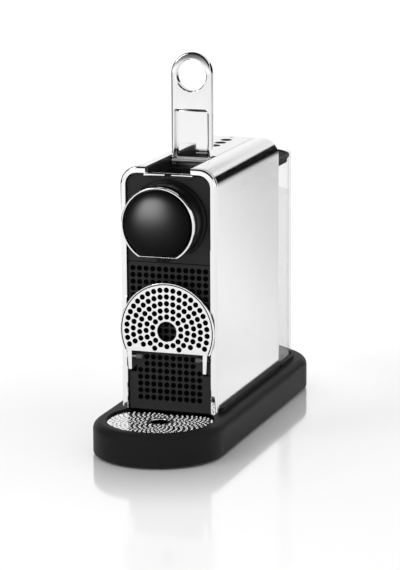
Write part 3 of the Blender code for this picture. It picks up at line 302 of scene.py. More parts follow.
# ---------------------------------------------------------------- outlines and meshes
def arc(centre, radius, start_deg, end_deg, steps):
    """Points of an arc, both ends included."""
    turns = [math.radians(start_deg + (end_deg - start_deg) * i / steps) for i in range(steps + 1)]
    return [(centre[0] + radius * math.cos(t), centre[1] + radius * math.sin(t)) for t in turns]


def circle(centre, radius, steps=24):
    return arc(centre, radius, 0.0, 360.0 * (steps - 1) / steps, steps - 1)


def rounded_box(low, high, radius, steps=6):
    corners = (
        ((high[0] - radius, low[1] + radius), -90.0), ((high[0] - radius, high[1] - radius), 0.0),
        ((low[0] + radius, high[1] - radius), 90.0), ((low[0] + radius, low[1] + radius), 180.0),
    )
    return [p for centre, start in corners for p in arc(centre, radius, start, start + 90.0, steps)]


def mirrored(outline):
    return [(-a, b) for a, b in reversed(outline)]


def grown(loop, distance):
    """An anticlockwise loop moved outwards by a distance, or inwards by a negative one."""
    moved = []
    count = len(loop)
    for i, (x, y) in enumerate(loop):
        before = Vector(loop[i]) - Vector(loop[i - 1])
        after = Vector(loop[(i + 1) % count]) - Vector(loop[i])
        before.normalize()
        after.normalize()
        side = Vector((before.y + after.y, -before.x - after.x))
        side.normalize()
        stretch = max(0.5, side.dot(Vector((after.y, -after.x))))
        moved.append((x + side.x * distance / stretch, y + side.y * distance / stretch))
    return moved


def rounding(radius, steps=3):
    """(inset, depth) from a face round an edge to the wall below it."""
    turns = [0.5 * math.pi * i / steps for i in range(steps + 1)]
    return [(radius * (1.0 - math.sin(t)), radius * (1.0 - math.cos(t))) for t in turns]


def both_rims(low, high, radius, steps=3):
    """(inset, place) levels from one face to the other, with both rims rounded."""
    curve = rounding(radius, steps)
    levels = [(inset, low + depth) for inset, depth in curve]
    return levels + [(inset, high - depth) for inset, depth in reversed(curve)]


def axis_point(axis, across, up, along):
    if axis == "X":
        return (along, across, up)
    if axis == "Y":
        return (across, along, up)
    return (across, up, along)


def rings_of(outline_at, levels, axis="Z"):
    """One ring of points for each (inset, place along the axis), from the outline at that inset."""
    return [[axis_point(axis, a, b, at) for a, b in outline_at(inset)] for inset, at in levels]


def shade(piece, sharp_deg=40.0):
    piece.data.shade_smooth()
    piece.data.set_sharp_from_angle(angle=math.radians(sharp_deg))
    even = piece.modifiers.new("even_shading", "WEIGHTED_NORMAL")
    even.keep_sharp = True
    return piece


def solid(name, bm, looks=()):
    bmesh.ops.recalc_face_normals(bm, faces=bm.faces)
    mesh = bpy.data.meshes.new(name)
    bm.to_mesh(mesh)
    bm.free()
    for look in looks:
        mesh.materials.append(look)
    made = bpy.data.objects.new(name, mesh)
    bpy.context.scene.collection.objects.link(made)
    mesh.shade_smooth()
    return made


def bridge(bm, low, high, material=0):
    count = len(low)
    for i in range(count):
        face = bm.faces.new((low[i], low[(i + 1) % count], high[(i + 1) % count], high[i]))
        face.material_index = material


def loft(name, rings, looks=()):
    """A closed solid through rings of equally many points, capped at both ends."""
    bm = bmesh.new()
    layers = [[bm.verts.new(point) for point in ring] for ring in rings]
    for low, high in zip(layers, layers[1:]):
        bridge(bm, low, high)
    bm.faces.new(layers[0])
    bm.faces.new(layers[-1])
    return solid(name, bm, looks)


def prism(name, outline, axis, low, high, looks=(), edge=0.0):
    """An extruded outline; edge rounds both of its rims."""
    levels = both_rims(low, high, edge) if edge else [(0.0, low), (0.0, high)]
    return loft(name, rings_of(lambda inset: grown(outline, -inset), levels, axis), looks)


def block(name, xs, ys, zs, looks=(), edge=0.0):
    outline = [(xs[0], ys[0]), (xs[1], ys[0]), (xs[1], ys[1]), (xs[0], ys[1])]
    if edge:
        outline = rounded_box((xs[0], ys[0]), (xs[1], ys[1]), edge, 3)
    return prism(name, outline, "Z", zs[0], zs[1], looks, edge)


def turned(name, profile, centre, axis, looks=(), steps=96):
    """A solid of revolution; profile is (radius, place along the axis) and may start and end at 0."""
    bm = bmesh.new()
    rings = []
    for radius, along in profile:
        loop = circle(centre, radius, steps) if radius else [centre]
        rings.append([bm.verts.new(axis_point(axis, a, b, along)) for a, b in loop])
    pairs = list(zip(rings, rings[1:]))
    if len(rings[0]) > 1 and len(rings[-1]) > 1:
        pairs.append((rings[-1], rings[0]))
    for first, second in pairs:
        if len(first) == len(second) == 1:
            continue
        if 1 in (len(first), len(second)):
            ring, tip = (first, second[0]) if len(second) == 1 else (second, first[0])
            for i in range(steps):
                bm.faces.new((ring[i], ring[(i + 1) % steps], tip))
        else:
            bridge(bm, first, second)
    return solid(name, bm, looks)


def rod(name, centre, axis, radius, low, high, looks=(), steps=48):
    return turned(name, [(0.0, low), (radius, low), (radius, high), (0.0, high)], centre, axis, looks, steps)


def evaluated(piece):
    """Keeps what a piece's modifiers make as its own mesh."""
    bpy.context.view_layer.update()
    graph = bpy.context.evaluated_depsgraph_get()
    mesh = bpy.data.meshes.new_from_object(piece.evaluated_get(graph))
    piece.modifiers.clear()
    piece.data = mesh


def carved(piece, add=(), cut=(), edge=0.0, segments=3, angle_deg=35.0):
    """Joins solids to a piece, cuts others out of it and rounds the edges that are left."""
    for operation, others in (("UNION", add), ("DIFFERENCE", cut)):
        for other in others:
            step = piece.modifiers.new(operation, "BOOLEAN")
            step.operation = operation
            step.object = other
    if edge:
        step = piece.modifiers.new("edges", "BEVEL")
        step.width = edge
        step.segments = segments
        step.limit_method = "ANGLE"
        step.angle_limit = math.radians(angle_deg)
        step.miter_outer = "MITER_ARC"
    evaluated(piece)
    for other in (*add, *cut):
        bpy.data.objects.remove(other)
    return piece


def inside(loop, point):
    """Even-odd test of a point against a loop."""
    x, y = point
    found = False
    for (ax, ay), (bx, by) in zip(loop, loop[1:] + loop[:1]):
        if (ay > y) != (by > y) and x < ax + (bx - ax) * (y - ay) / (by - ay):
            found = not found
    return found


def face_triangles(outer, holes):
    """Triangles of a flat face with holes, as point numbers: outer's points first, then each hole's."""
    loops = [outer] + holes
    points = [Vector(p) for loop in loops for p in loop]
    edge_list = []
    start = 0
    for loop in loops:
        count = len(loop)
        edge_list += [(start + i, start + (i + 1) % count) for i in range(count)]
        start += count
    places, _, faces, _, _, _ = delaunay_2d_cdt(points, edge_list, [], 0, 1e-7)
    owner = [number for number, loop in enumerate(loops) for _ in loop]
    kept = []
    for face in faces:
        middle = sum((places[i] for i in face), Vector((0.0, 0.0))) / 3.0
        owners = {owner[i] for i in face}
        if owners == {0} or len(holes) < 4:
            if inside(outer, middle) and not any(inside(hole, middle) for hole in holes):
                kept.append(tuple(face))
        elif len(owners) > 1:
            kept.append(tuple(face))
    return kept


def painted_shade(name, outline, place, thick, edge, holes, looks):
    """A flat plate with rounded rims and any number of holes or dimples.

    place turns (across, up, depth under the face) into a point. Each hole is its anticlockwise loop,
    its (growth, depth) profile from the face down, whether it is closed at the bottom, and the
    material number of its wall.
    """
    bm = bmesh.new()
    outer = [
        [bm.verts.new(place(a, b, depth)) for a, b in grown(outline, -inset)]
        for inset, depth in both_rims(0.0, thick, edge)
    ]
    for low, high in zip(outer, outer[1:]):
        bridge(bm, low, high)
    face_loop = grown(outline, -edge)
    fronts, backs, front_rings, back_rings = [], [], [], []
    for loop, profile, closed, material in holes:
        rings = []
        for growth, depth in profile:
            rings.append([bm.verts.new(place(a, b, depth)) for a, b in grown(loop, growth)])
        for low, high in zip(rings, rings[1:]):
            bridge(bm, low, high, material)
        fronts.append(grown(loop, profile[0][0]))
        front_rings.append(rings[0])
        if closed:
            middle = sum((v.co for v in rings[-1]), Vector()) / len(rings[-1])
            tip = bm.verts.new(middle)
            for i in range(len(loop)):
                face = bm.faces.new((rings[-1][i], rings[-1][(i + 1) % len(loop)], tip))
                face.material_index = material
        else:
            backs.append(grown(loop, profile[-1][0]))
            back_rings.append(rings[-1])
    faces = ((outer[0], fronts, front_rings), (outer[-1], backs, back_rings))
    for first_ring, hole_loops, hole_rings in faces:
        corners = list(first_ring) + [v for ring in hole_rings for v in ring]
        for triangle in face_triangles(face_loop, hole_loops):
            bm.faces.new([corners[i] for i in triangle])
    return shade(solid(name, bm, looks), 30.0)


def through(thick, edge):
    """A hole's profile with rounded rims on both faces."""
    return both_rims(0.0, thick, edge)


def mount(piece, body, slot_name, *nodes):
    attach(piece, body)
    if nodes:
        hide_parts(*nodes)
    return piece


def finish_piece(piece, body, slot_name, *nodes):
    return mount(shade(piece), body, slot_name, *nodes)


# ---------------------------------------------------------------- base and drip tray
def stadium(inset, steps=48):
    radius = BASE_RADIUS - inset
    front = arc((0.0, FRONT_CENTRE_Y), radius, 180.0, 360.0, steps)
    return front + arc((0.0, REAR_CENTRE_Y), radius, 0.0, 180.0, steps)


def stadium_body(name, looks):
    """The whole base's outside: a small lead-in below, upright walls and a soft top edge."""
    lead_in = 1.2 * MM
    levels = [(lead_in, BASE_LOW_Z), (0.3 * MM, BASE_LOW_Z + 0.4 * MM), (0.0, BASE_LOW_Z + lead_in)]
    levels += [(inset, BASE_TOP_Z - depth) for inset, depth in reversed(rounding(SHOULDER, 10))]
    return loft(name, rings_of(stadium, levels), looks)


def tank_outline(inset, steps=48):
    half = TANK_X[1] - inset
    front = TANK_Y[0] + inset
    corner = 4.0 * MM
    outline = arc((-half + corner, front + corner), corner, 180.0, 270.0, 4)
    outline += arc((half - corner, front + corner), corner, 270.0, 360.0, 4)
    return outline + arc((0.0, REAR_CENTRE_Y), half, 0.0, 180.0, steps)


def make_base():
    plate_top = edges("base_bottom_plate")[2][1]
    seat_radius = edges("tank_valve_seat")[0][1] + 0.3 * MM
    gland_z = edges("cord_gland")[2]
    tray_room = 53.0 * MM
    shell = stadium_body("base_shell_fine", (BLACK,))
    posts = []
    bores = []
    for number in (1, 2, 3, 4):
        screw_x, screw_y, _ = edges(f"base_screw_{number}")
        place = (middle_of(screw_x), middle_of(screw_y))
        deck_z = PLINTH_TOP_Z if place[1] < TANK_Y[0] else BASE_TOP_Z
        posts.append(rod(f"post_{number}", place, "Z", 4.2 * MM, plate_top + GAP, deck_z - 1.5 * MM))
        bores.append(rod(f"bore_{number}", place, "Z", 1.7 * MM, 0.0, 15.0 * MM))
    low_z = BASE_TOP_Z - MM
    carved(
        shell,
        add=(
            prism("plinth", rounded_box((-PLINTH_X, PLINTH_Y[0]), (PLINTH_X, PLINTH_Y[1]), 6.0 * MM),
                  "Z", low_z, PLINTH_TOP_Z),
            prism("tank_lip", tank_outline(-3.2 * MM), "Z", low_z, 37.0 * MM),
        ),
        cut=(
            block("seam", (-FAR, FAR), (-FAR, SEAM_Y), (-FAR, FAR)),
            prism("tank_seat", tank_outline(-0.8 * MM), "Z", BASE_TOP_Z, CUT_TOP_Z),
            rod("tray_room", (0.0, FRONT_CENTRE_Y), "Z", tray_room, CUT_LOW_Z, CUT_TOP_Z, steps=128),
            block("tongue_room", (-43.0 * MM, 43.0 * MM), (-140.0 * MM, -24.0 * MM), (CUT_LOW_Z, CUT_TOP_Z)),
            prism("plate_room", stadium(3.0 * MM), "Z", CUT_LOW_Z, plate_top + GAP),
            underside("rear_hollow", (-18.0 * MM, 202.0 * MM), 30.5 * MM, BASE_RADIUS - 3.0 * MM),
            underside("body_hollow", (-18.0 * MM, 95.0 * MM), 36.0 * MM, 48.0 * MM),
            rod("valve_hole", (0.0, REAR_CENTRE_Y), "Z", seat_radius, 20.0 * MM, 40.0 * MM),
            rod("gland_hole", (0.0, middle_of(gland_z)), "Y", 6.9 * MM, 190.0 * MM, 210.0 * MM),
        ),
    )
    carved(shell, add=posts, cut=bores, edge=0.6 * MM)
    finish_piece(shell, "housing", "matte_black_plastic", "base_shell")


def underside(name, ys, top, limit):
    """A pocket under the base, inside its wall, between two places along Y."""
    outline = []
    for x, y in stadium(3.0 * MM):
        point = (max(-limit, min(limit, x)), max(ys[0], min(ys[1], y)))
        if not outline or math.dist(point, outline[-1]) > 1e-6:
            outline.append(point)
    if math.dist(outline[0], outline[-1]) < 1e-6:
        outline.pop()
    return prism(name, outline, "Z", CUT_LOW_Z, top)


def make_drip_tray():
    deck_z = GRID_Z[0] - GAP
    low_z = edges("base_bottom_plate")[2][1] + 0.6 * MM
    floor_z = 8.0 * MM
    tongue_x = 41.8 * MM
    wall = 2.3 * MM
    centre = (0.0, FRONT_CENTRE_Y)
    tray = stadium_body("drip_tray_fine", (BLACK,))
    carved(tray, cut=(block("seam", (-FAR, FAR), (SEAM_Y - 0.4 * MM, FAR), (-FAR, FAR)),))
    under = [(x, min(y, SEAM_Y - 4.3 * MM)) for x, y in arc(centre, BASE_RADIUS - 5.0 * MM, 180.0, 360.0, 48)]
    carved(
        tray,
        add=(
            rod("back", centre, "Z", 52.6 * MM, low_z, deck_z, steps=128),
            block("tongue", (-tongue_x, tongue_x), (-130.0 * MM, TRAY_Y[1]), (low_z, deck_z)),
        ),
        cut=(
            rod("grid_seat", centre, "Z", GRID_RADIUS + GAP, deck_z, CUT_TOP_Z, steps=128),
            rod("basin", centre, "Z", 49.5 * MM, floor_z, CUT_TOP_Z, steps=128),
            block("trough", (wall - tongue_x, tongue_x - wall), (-128.0 * MM, TRAY_Y[1] - wall),
                  (floor_z, CUT_TOP_Z)),
            prism("under", under, "Z", CUT_LOW_Z, floor_z - 3.0 * MM),
        ),
        edge=0.5 * MM,
    )
    finish_piece(tray, "drip_unit", "matte_black_plastic", "drip_tray")


def make_drip_grid():
    """Raised holes spread evenly over a steel disc, round a finger hole, cut straight under the panel."""
    thick = GRID_Z[1] - GRID_Z[0]
    step_y = FRAME_Y[0] - 0.4 * MM
    rear_y = GRID_Y[1]
    step_x = BODY_X[1] - BAND - 0.5 * MM
    reach = math.degrees(math.asin((step_y - FRONT_CENTRE_Y) / GRID_RADIUS))
    outline = arc((0.0, FRONT_CENTRE_Y), GRID_RADIUS, 180.0 - reach, 360.0 + reach, 140)
    outline += [(step_x, step_y), (step_x - 1.5 * MM, rear_y), (1.5 * MM - step_x, rear_y), (-step_x, step_y)]
    hole_radius, collar, spread = 0.9 * MM, 0.3 * MM, 2.7 * MM
    golden_angle = math.pi * (3.0 - math.sqrt(5.0))
    inner_radius, outer_radius = FINGER_HOLE_RADIUS + 2.6 * MM, GRID_RADIUS - 3.0 * MM
    raised = [(collar, 0.0), (0.75 * collar, -0.4 * MM), (0.5 * collar, -0.5 * MM), (0.2 * collar, -0.5 * MM),
              (0.0, -0.4 * MM), (0.0, thick)]
    holes = [(circle((0.0, FRONT_CENTRE_Y), FINGER_HOLE_RADIUS, 64), through(thick, 1.0 * MM), False, 0)]
    for number in range(math.ceil((inner_radius / spread) ** 2), math.floor((outer_radius / spread) ** 2)):
        radius = spread * math.sqrt(number)
        across = radius * math.cos(number * golden_angle)
        along = radius * math.sin(number * golden_angle)
        place = (across, FRONT_CENTRE_Y + along)
        beside_frame = place[1] > step_y - 2.4 * MM and abs(across) > step_x - 2.8 * MM
        if place[1] < rear_y - hole_radius - 2.0 * MM and not beside_frame:
            holes.append((circle(place, hole_radius, 12), raised, False, 0))
    grid = painted_shade(
        "drip_grid_fine", outline, lambda a, b, depth: (a, b, GRID_Z[1] - depth), thick, 0.8 * MM, holes,
        (GRID_LOOK,),
    )
    mount(grid, "drip_grid", "polished_steel", "drip_grid")


# ---------------------------------------------------------------- front panels
def dimple(place):
    """A round pit with a small raised ring in the middle of its floor; its inside is coloured near black as
    painted shade.
    """
    radius = 2.45 * MM
    profile = [(0.30 * MM, 0.0), (0.10 * MM, 0.07 * MM), (0.0, 0.30 * MM), (-0.10 * MM, 1.25 * MM)]
    profile += [(-0.4 * MM, 1.45 * MM), (-1.55 * MM, 1.5 * MM), (-1.7 * MM, 1.2 * MM), (-1.95 * MM, 1.2 * MM)]
    profile += [(-2.05 * MM, 1.5 * MM)]
    return (circle(place, radius, 20), profile, True, 1)


def front_face(front_y):
    return lambda a, b, depth: (a, front_y + depth, b)


def make_lower_panel():
    top_z = BIN_PANEL_Z[1]
    low_z = BIN_PANEL_Z[0]
    half = BIN_PANEL_X[1] - 0.35 * MM
    inner_x, deep_x = 27.2 * MM, 34.5 * MM
    pocket_z = (71.3 * MM, 79.5 * MM, 96.5 * MM)
    right = [
        (half, low_z), (half, pocket_z[0]), (deep_x, pocket_z[0]), (deep_x, pocket_z[1]),
        (inner_x, pocket_z[1]), (inner_x, pocket_z[2]), (half, pocket_z[2]), (half, top_z),
    ]
    dots = []
    columns = 12
    for row in range(20):
        z = 175.5 * MM - row * DOT_PITCH
        spare = 0 if row < 13 else 2 if row < 15 else 1
        for k in range(spare, columns - spare):
            dots.append(dimple(((k - (columns - 1) / 2.0) * DOT_PITCH, z)))
    thick = 3.0 * MM
    # Material 1 colours the dimples' insides near black: painted shade in the pits.
    face = painted_shade(
        "lower_front_panel_fine", right + mirrored(right), front_face(BIN_PANEL_Y[0]), thick, 0.35 * MM, dots,
        (CHARCOAL, PAINTED_SHADE_BLACK),
    )
    mount(face, "drip_unit", "charcoal_plastic", "lower_front_panel")

    flange = 2.0 * MM
    back_y = (BIN_PANEL_Y[0] + thick - 0.2 * MM, BIN_PANEL_Y[1])
    outer = [(half, low_z + 0.4 * MM), (half, top_z)]
    inner = [(half - flange, low_z + 0.4 * MM), (half - flange, top_z - flange)]
    band = outer + mirrored(outer) + [(-a, b) for a, b in inner] + list(reversed(inner))
    rim = prism("lower_front_panel_rim", band, "Y", *back_y, (CHARCOAL,), 0.3 * MM)
    openings = []
    for side in (-1, 1):
        xs = sorted((side * (half - 2.0 * flange), side * (half + flange)))
        openings.append(
            block(f"opening_{side + 1}", xs, (-0.12, -95.0 * MM), (pocket_z[0], pocket_z[2]))
        )
    carved(rim, cut=openings)
    finish_piece(rim, "drip_unit", "charcoal_plastic", "lower_front_panel")


def body_section(inset, low_z, steps=16):
    """Half of the body's outline seen from the front: up the right side and over the top corner."""
    half = BODY_X[1] - inset
    radius = BODY_CORNER - inset
    top = BODY_Z[1] - inset
    return [(half, low_z)] + arc((half - radius, top - radius), radius, 0.0, 90.0, steps)


def make_upper_panel():
    low_z = PANEL_Z[0]
    clearance = 0.4 * MM
    side = body_section(BODY_X[1] - PANEL_X[1] + clearance, low_z)
    top_z = PANEL_Z[1] - clearance
    side = [(x, min(z, top_z)) for x, z in side]
    side += [(SIDE_X[0], top_z), (SIDE_X[0], SILL_Z[0] - 0.4 * MM)]
    spigot = (circle((0.0, HEAD_Z), 30.0 * MM, 96), through(3.0 * MM, 0.3 * MM), False, 0)
    face = painted_shade(
        "upper_front_panel_fine", side + mirrored(side), front_face(PANEL_Y[0]), PANEL_Y[1] - PANEL_Y[0],
        0.35 * MM, [spigot], (CHARCOAL,),
    )
    mount(face, "housing", "charcoal_plastic", "upper_front_panel")


# ---------------------------------------------------------------- steel body
def make_side_panels():
    """Steel sheets folded over the top edge, with their front and rear rims hemmed round."""
    low_z = SIDE_Z[0]
    outer = body_section(0.0, low_z, 28) + [(SIDE_X[0], BODY_Z[1])]
    inner = body_section(SHEET, low_z, 28) + [(SIDE_X[0], BODY_Z[1] - SHEET)]
    rim = 1.1 * MM
    levels = both_rims(*SIDE_Y, rim, 5)
    for side, label in ((1, "right"), (-1, "left")):
        rings = []
        for inset, y in levels:
            skin = list(grown(outer, -inset) if inset else outer)
            skin[0] = (skin[0][0], low_z)
            skin[-1] = (SIDE_X[0], skin[-1][1])
            loop = skin + list(reversed(inner))
            rings.append([(side * x, y, z) for x, z in loop])
        panel = loft(f"side_panel_{label}_fine", rings, (STEEL,))
        mount(shade(panel, 50.0), "housing", "polished_steel", f"side_panel_{label}")


def frame_arm(outer_inset, inner_inset):
    """One side of the frame seen from the front: up, round the corner and along to the notch."""
    foot_z = BODY_Z[0]
    end_x = NOTCH_X + 0.3 * outer_inset
    outer = body_section(outer_inset, foot_z, 24) + [(end_x, BODY_Z[1] - outer_inset)]
    inner = body_section(BAND - inner_inset, foot_z, 24) + [(end_x, BODY_Z[1] - BAND + inner_inset)]
    return outer + list(reversed(inner))


def band_levels(crisp, soft, fall, face, front_y):
    """(outer inset, inner inset, y) from the band's front ridge back to its rear face."""
    levels = []
    for k in range(7):
        out = k / 6.0
        levels.append((soft + face * (1.0 - out), crisp * (1.0 - out), front_y + fall * out))
    levels += [(inset, 0.0, front_y + fall + depth) for inset, depth in rounding(soft, 6)[1:]]
    return levels + [(0.0, 0.0, FRAME_Y[1])]


def make_front_frame():
    """A chrome band with a crisp inner edge, a face that falls away outwards and a soft outer edge."""
    crisp, soft, fall = 0.5 * MM, 2.0 * MM, 0.35 * MM
    face = BAND - crisp - soft
    front_y = FRAME_Y[0]
    arms = []
    for side, label in ((1, "right"), (-1, "left")):
        rings = [[(side * x, y, z) for x, z in frame_arm(wide, thin)] for wide, thin, y in band_levels(
            crisp, soft, fall, face, front_y)]
        arms.append(loft(f"frame_{label}", rings, (CHROME,)))
    sill_y = (FRAME_Y[0] + 1.5 * MM, FRAME_Y[1])
    sill = prism(
        "sill", rounded_box((sill_y[0], SILL_Z[0]), (sill_y[1], SILL_Z[1]), 1.6 * MM, 8), "X",
        -NOTCH_X - 2.0 * MM, NOTCH_X + 2.0 * MM, (CHROME,),
    )
    frame_piece = carved(arms[0], add=(arms[1], sill))
    frame_piece.name = "front_frame_fine"
    mount(shade(frame_piece, 35.0), "housing", "chrome", "front_frame")
    latch = block("lever_latch_fine", LATCH_X, LATCH_Y, LATCH_Z, (BLACK,), 0.4 * MM)
    finish_piece(latch, "housing", "matte_black_plastic", "lever_latch")


def make_recess():
    """The black channel that the lever closes into, with the pod slot in its floor."""
    floor_z = 265.5 * MM
    inner_x = 21.3 * MM
    slot_x, slot_y = 19.5 * MM, (-88.0 * MM, -45.0 * MM)
    half = [
        (RECESS_X[1], RECESS_Z[0]), (RECESS_X[1], RECESS_Z[1]), (inner_x, RECESS_Z[1]), (inner_x, floor_z),
    ]
    recess = prism("lever_recess_fine", half + mirrored(half), "Y", RECESS_Y[0], RECESS_Y[1], (BLACK,))
    slot_outline = rounded_box((-slot_x, slot_y[0]), (slot_x, slot_y[1]), 2.0 * MM)
    slot_cut = prism("slot", slot_outline, "Z", 0.25, 0.268)
    pin_cut = rod("pin", LEVER_AXIS.yz, "X", LEVER_BORE, -0.05, 0.05)
    carved(recess, cut=(slot_cut, pin_cut), edge=0.3 * MM)
    finish_piece(recess, "housing", "matte_black_plastic", "lever_recess")

    make_open_box("pod_chute", "housing", 1.2 * MM, 2.0 * MM, (0.23, 0.27), 0.3 * MM)


def make_open_box(node, body, wall, corner, room_z, edge):
    """A black box of the CAD node's size, with a room cut out between two heights."""
    xs, ys, zs = edges(node)
    box = prism(f"{node}_fine", rounded_box((xs[0], ys[0]), (xs[1], ys[1]), corner), "Z", *zs, (BLACK,))
    room = rounded_box((xs[0] + wall, ys[0] + wall), (xs[1] - wall, ys[1] - wall), corner - MM)
    carved(box, cut=(prism("room", room, "Z", *room_z),), edge=edge)
    finish_piece(box, body, "matte_black_plastic", node)


def make_top_strip():
    low_z = 274.5 * MM
    front_y, rear_y = STRIP_Y
    lip = 1.5 * MM
    outline = [
        (front_y, STRIP_Z[0]), (front_y + lip, STRIP_Z[0]), (front_y + lip, low_z), (rear_y, low_z),
        (rear_y, STRIP_Z[1]), (front_y, STRIP_Z[1]),
    ]
    strip = prism("top_strip_fine", outline, "X", STRIP_X[0], STRIP_X[1], (STRIP,))
    holes = [rod(f"hole_{k}", (0.0, y), "Z", BUTTON_RADIUS + GAP, 0.27, 0.29, steps=64)
             for k, y in enumerate(BUTTON_YS)]
    _, lamp_y, lamp_z = edges("status_lamp")
    lamp_at = (0.0, middle_of(lamp_y))
    holes.append(rod("lamp_hole", lamp_at, "Z", 1.8 * MM, 0.27, 0.29, steps=32))
    carved(strip, cut=holes, edge=0.35 * MM)
    finish_piece(strip, "housing", "top_strip", "top_lid")
    lamp = turned(
        "status_lamp_fine",
        [(0.0, lamp_z[0]), (1.5 * MM, lamp_z[0]), (1.5 * MM, lamp_z[1] - 0.5 * MM),
         (1.2 * MM, lamp_z[1] - 0.1 * MM), (0.7 * MM, lamp_z[1]), (0.0, lamp_z[1])],
        lamp_at, "Z", (GLOSS,), 32,
    )
    finish_piece(lamp, "housing", "gloss_black", "status_lamp")


def make_buttons():
    for number, y in enumerate(BUTTON_YS, start=1):
        low_z = edges(f"button_{number}")[2][0]
        crest_z = BODY_Z[1] + 0.25 * MM
        flange = BUTTON_RADIUS + 1.2 * MM
        flange_z = (272.4 * MM, 274.2 * MM)
        profile = [
            (0.0, low_z), (1.6 * MM, low_z), (1.6 * MM, flange_z[0]), (flange, flange_z[0]),
            (flange, flange_z[1]), (BUTTON_RADIUS, flange_z[1]), (BUTTON_RADIUS, crest_z - 0.5 * MM),
        ]
        rim = reversed(rounding(0.4 * MM, 4))
        profile += [(BUTTON_RADIUS - inset, crest_z - depth) for inset, depth in rim]
        profile += [
            (BUTTON_RADIUS - 1.6 * MM, crest_z - 0.05 * MM), (BUTTON_RADIUS - 3.0 * MM, crest_z - 0.35 * MM),
            (0.0, crest_z - 0.4 * MM),
        ]
        button = turned(f"button_{number}_fine", profile, (0.0, y), "Z", (LID_BLACK,), 64)
        finish_piece(button, f"button_{number}", "charcoal_plastic", f"button_{number}")


def make_rear_cover():
    """Plastic cover behind the tank, with rounded rims and cooling slots."""
    cover_x, cover_y, cover_z = edges("rear_cover")
    side = [(x, min(z, cover_z[1])) for x, z in body_section(BODY_X[1] - cover_x[1], cover_z[0])]
    kept = [side[0]]
    for point in side[1:]:
        if math.dist(point, kept[-1]) > 1e-5:
            kept.append(point)
    holes = []
    for row in range(6):
        z = 232.0 * MM - row * 7.0 * MM
        slot_loop = rounded_box((-22.0 * MM, z), (22.0 * MM, z + 2.6 * MM), 1.25 * MM, 5)
        holes.append((slot_loop, through(cover_y[1] - cover_y[0], 0.4 * MM), False, 0))
    cover = painted_shade(
        "rear_cover_fine", kept + mirrored(kept), lambda a, b, depth: (-a, cover_y[1] - depth, b),
        cover_y[1] - cover_y[0], 0.5 * MM, holes, (COVER_GREY,),
    )
    mount(cover, "housing", "grey_plastic", "rear_cover")


# ---------------------------------------------------------------- coffee head
def head_outline(radius, flat_z, corner=2.0 * MM, steps=150):
    """A circle round the head's axis, cut flat below, with slightly rounded corners."""
    drop = HEAD_Z - flat_z
    inner = radius - corner
    reach = math.asin((drop - corner) / inner)
    across = inner * math.cos(reach)
    low = flat_z + corner
    turn = math.degrees(reach)
    outline = arc((0.0, HEAD_Z), radius, -turn, 180.0 + turn, steps)
    outline += arc((-across, low), corner, 180.0 + turn, 270.0, 6)[1:]
    return outline + arc((across, low), corner, 270.0, 360.0 - turn, 6)[:-1]


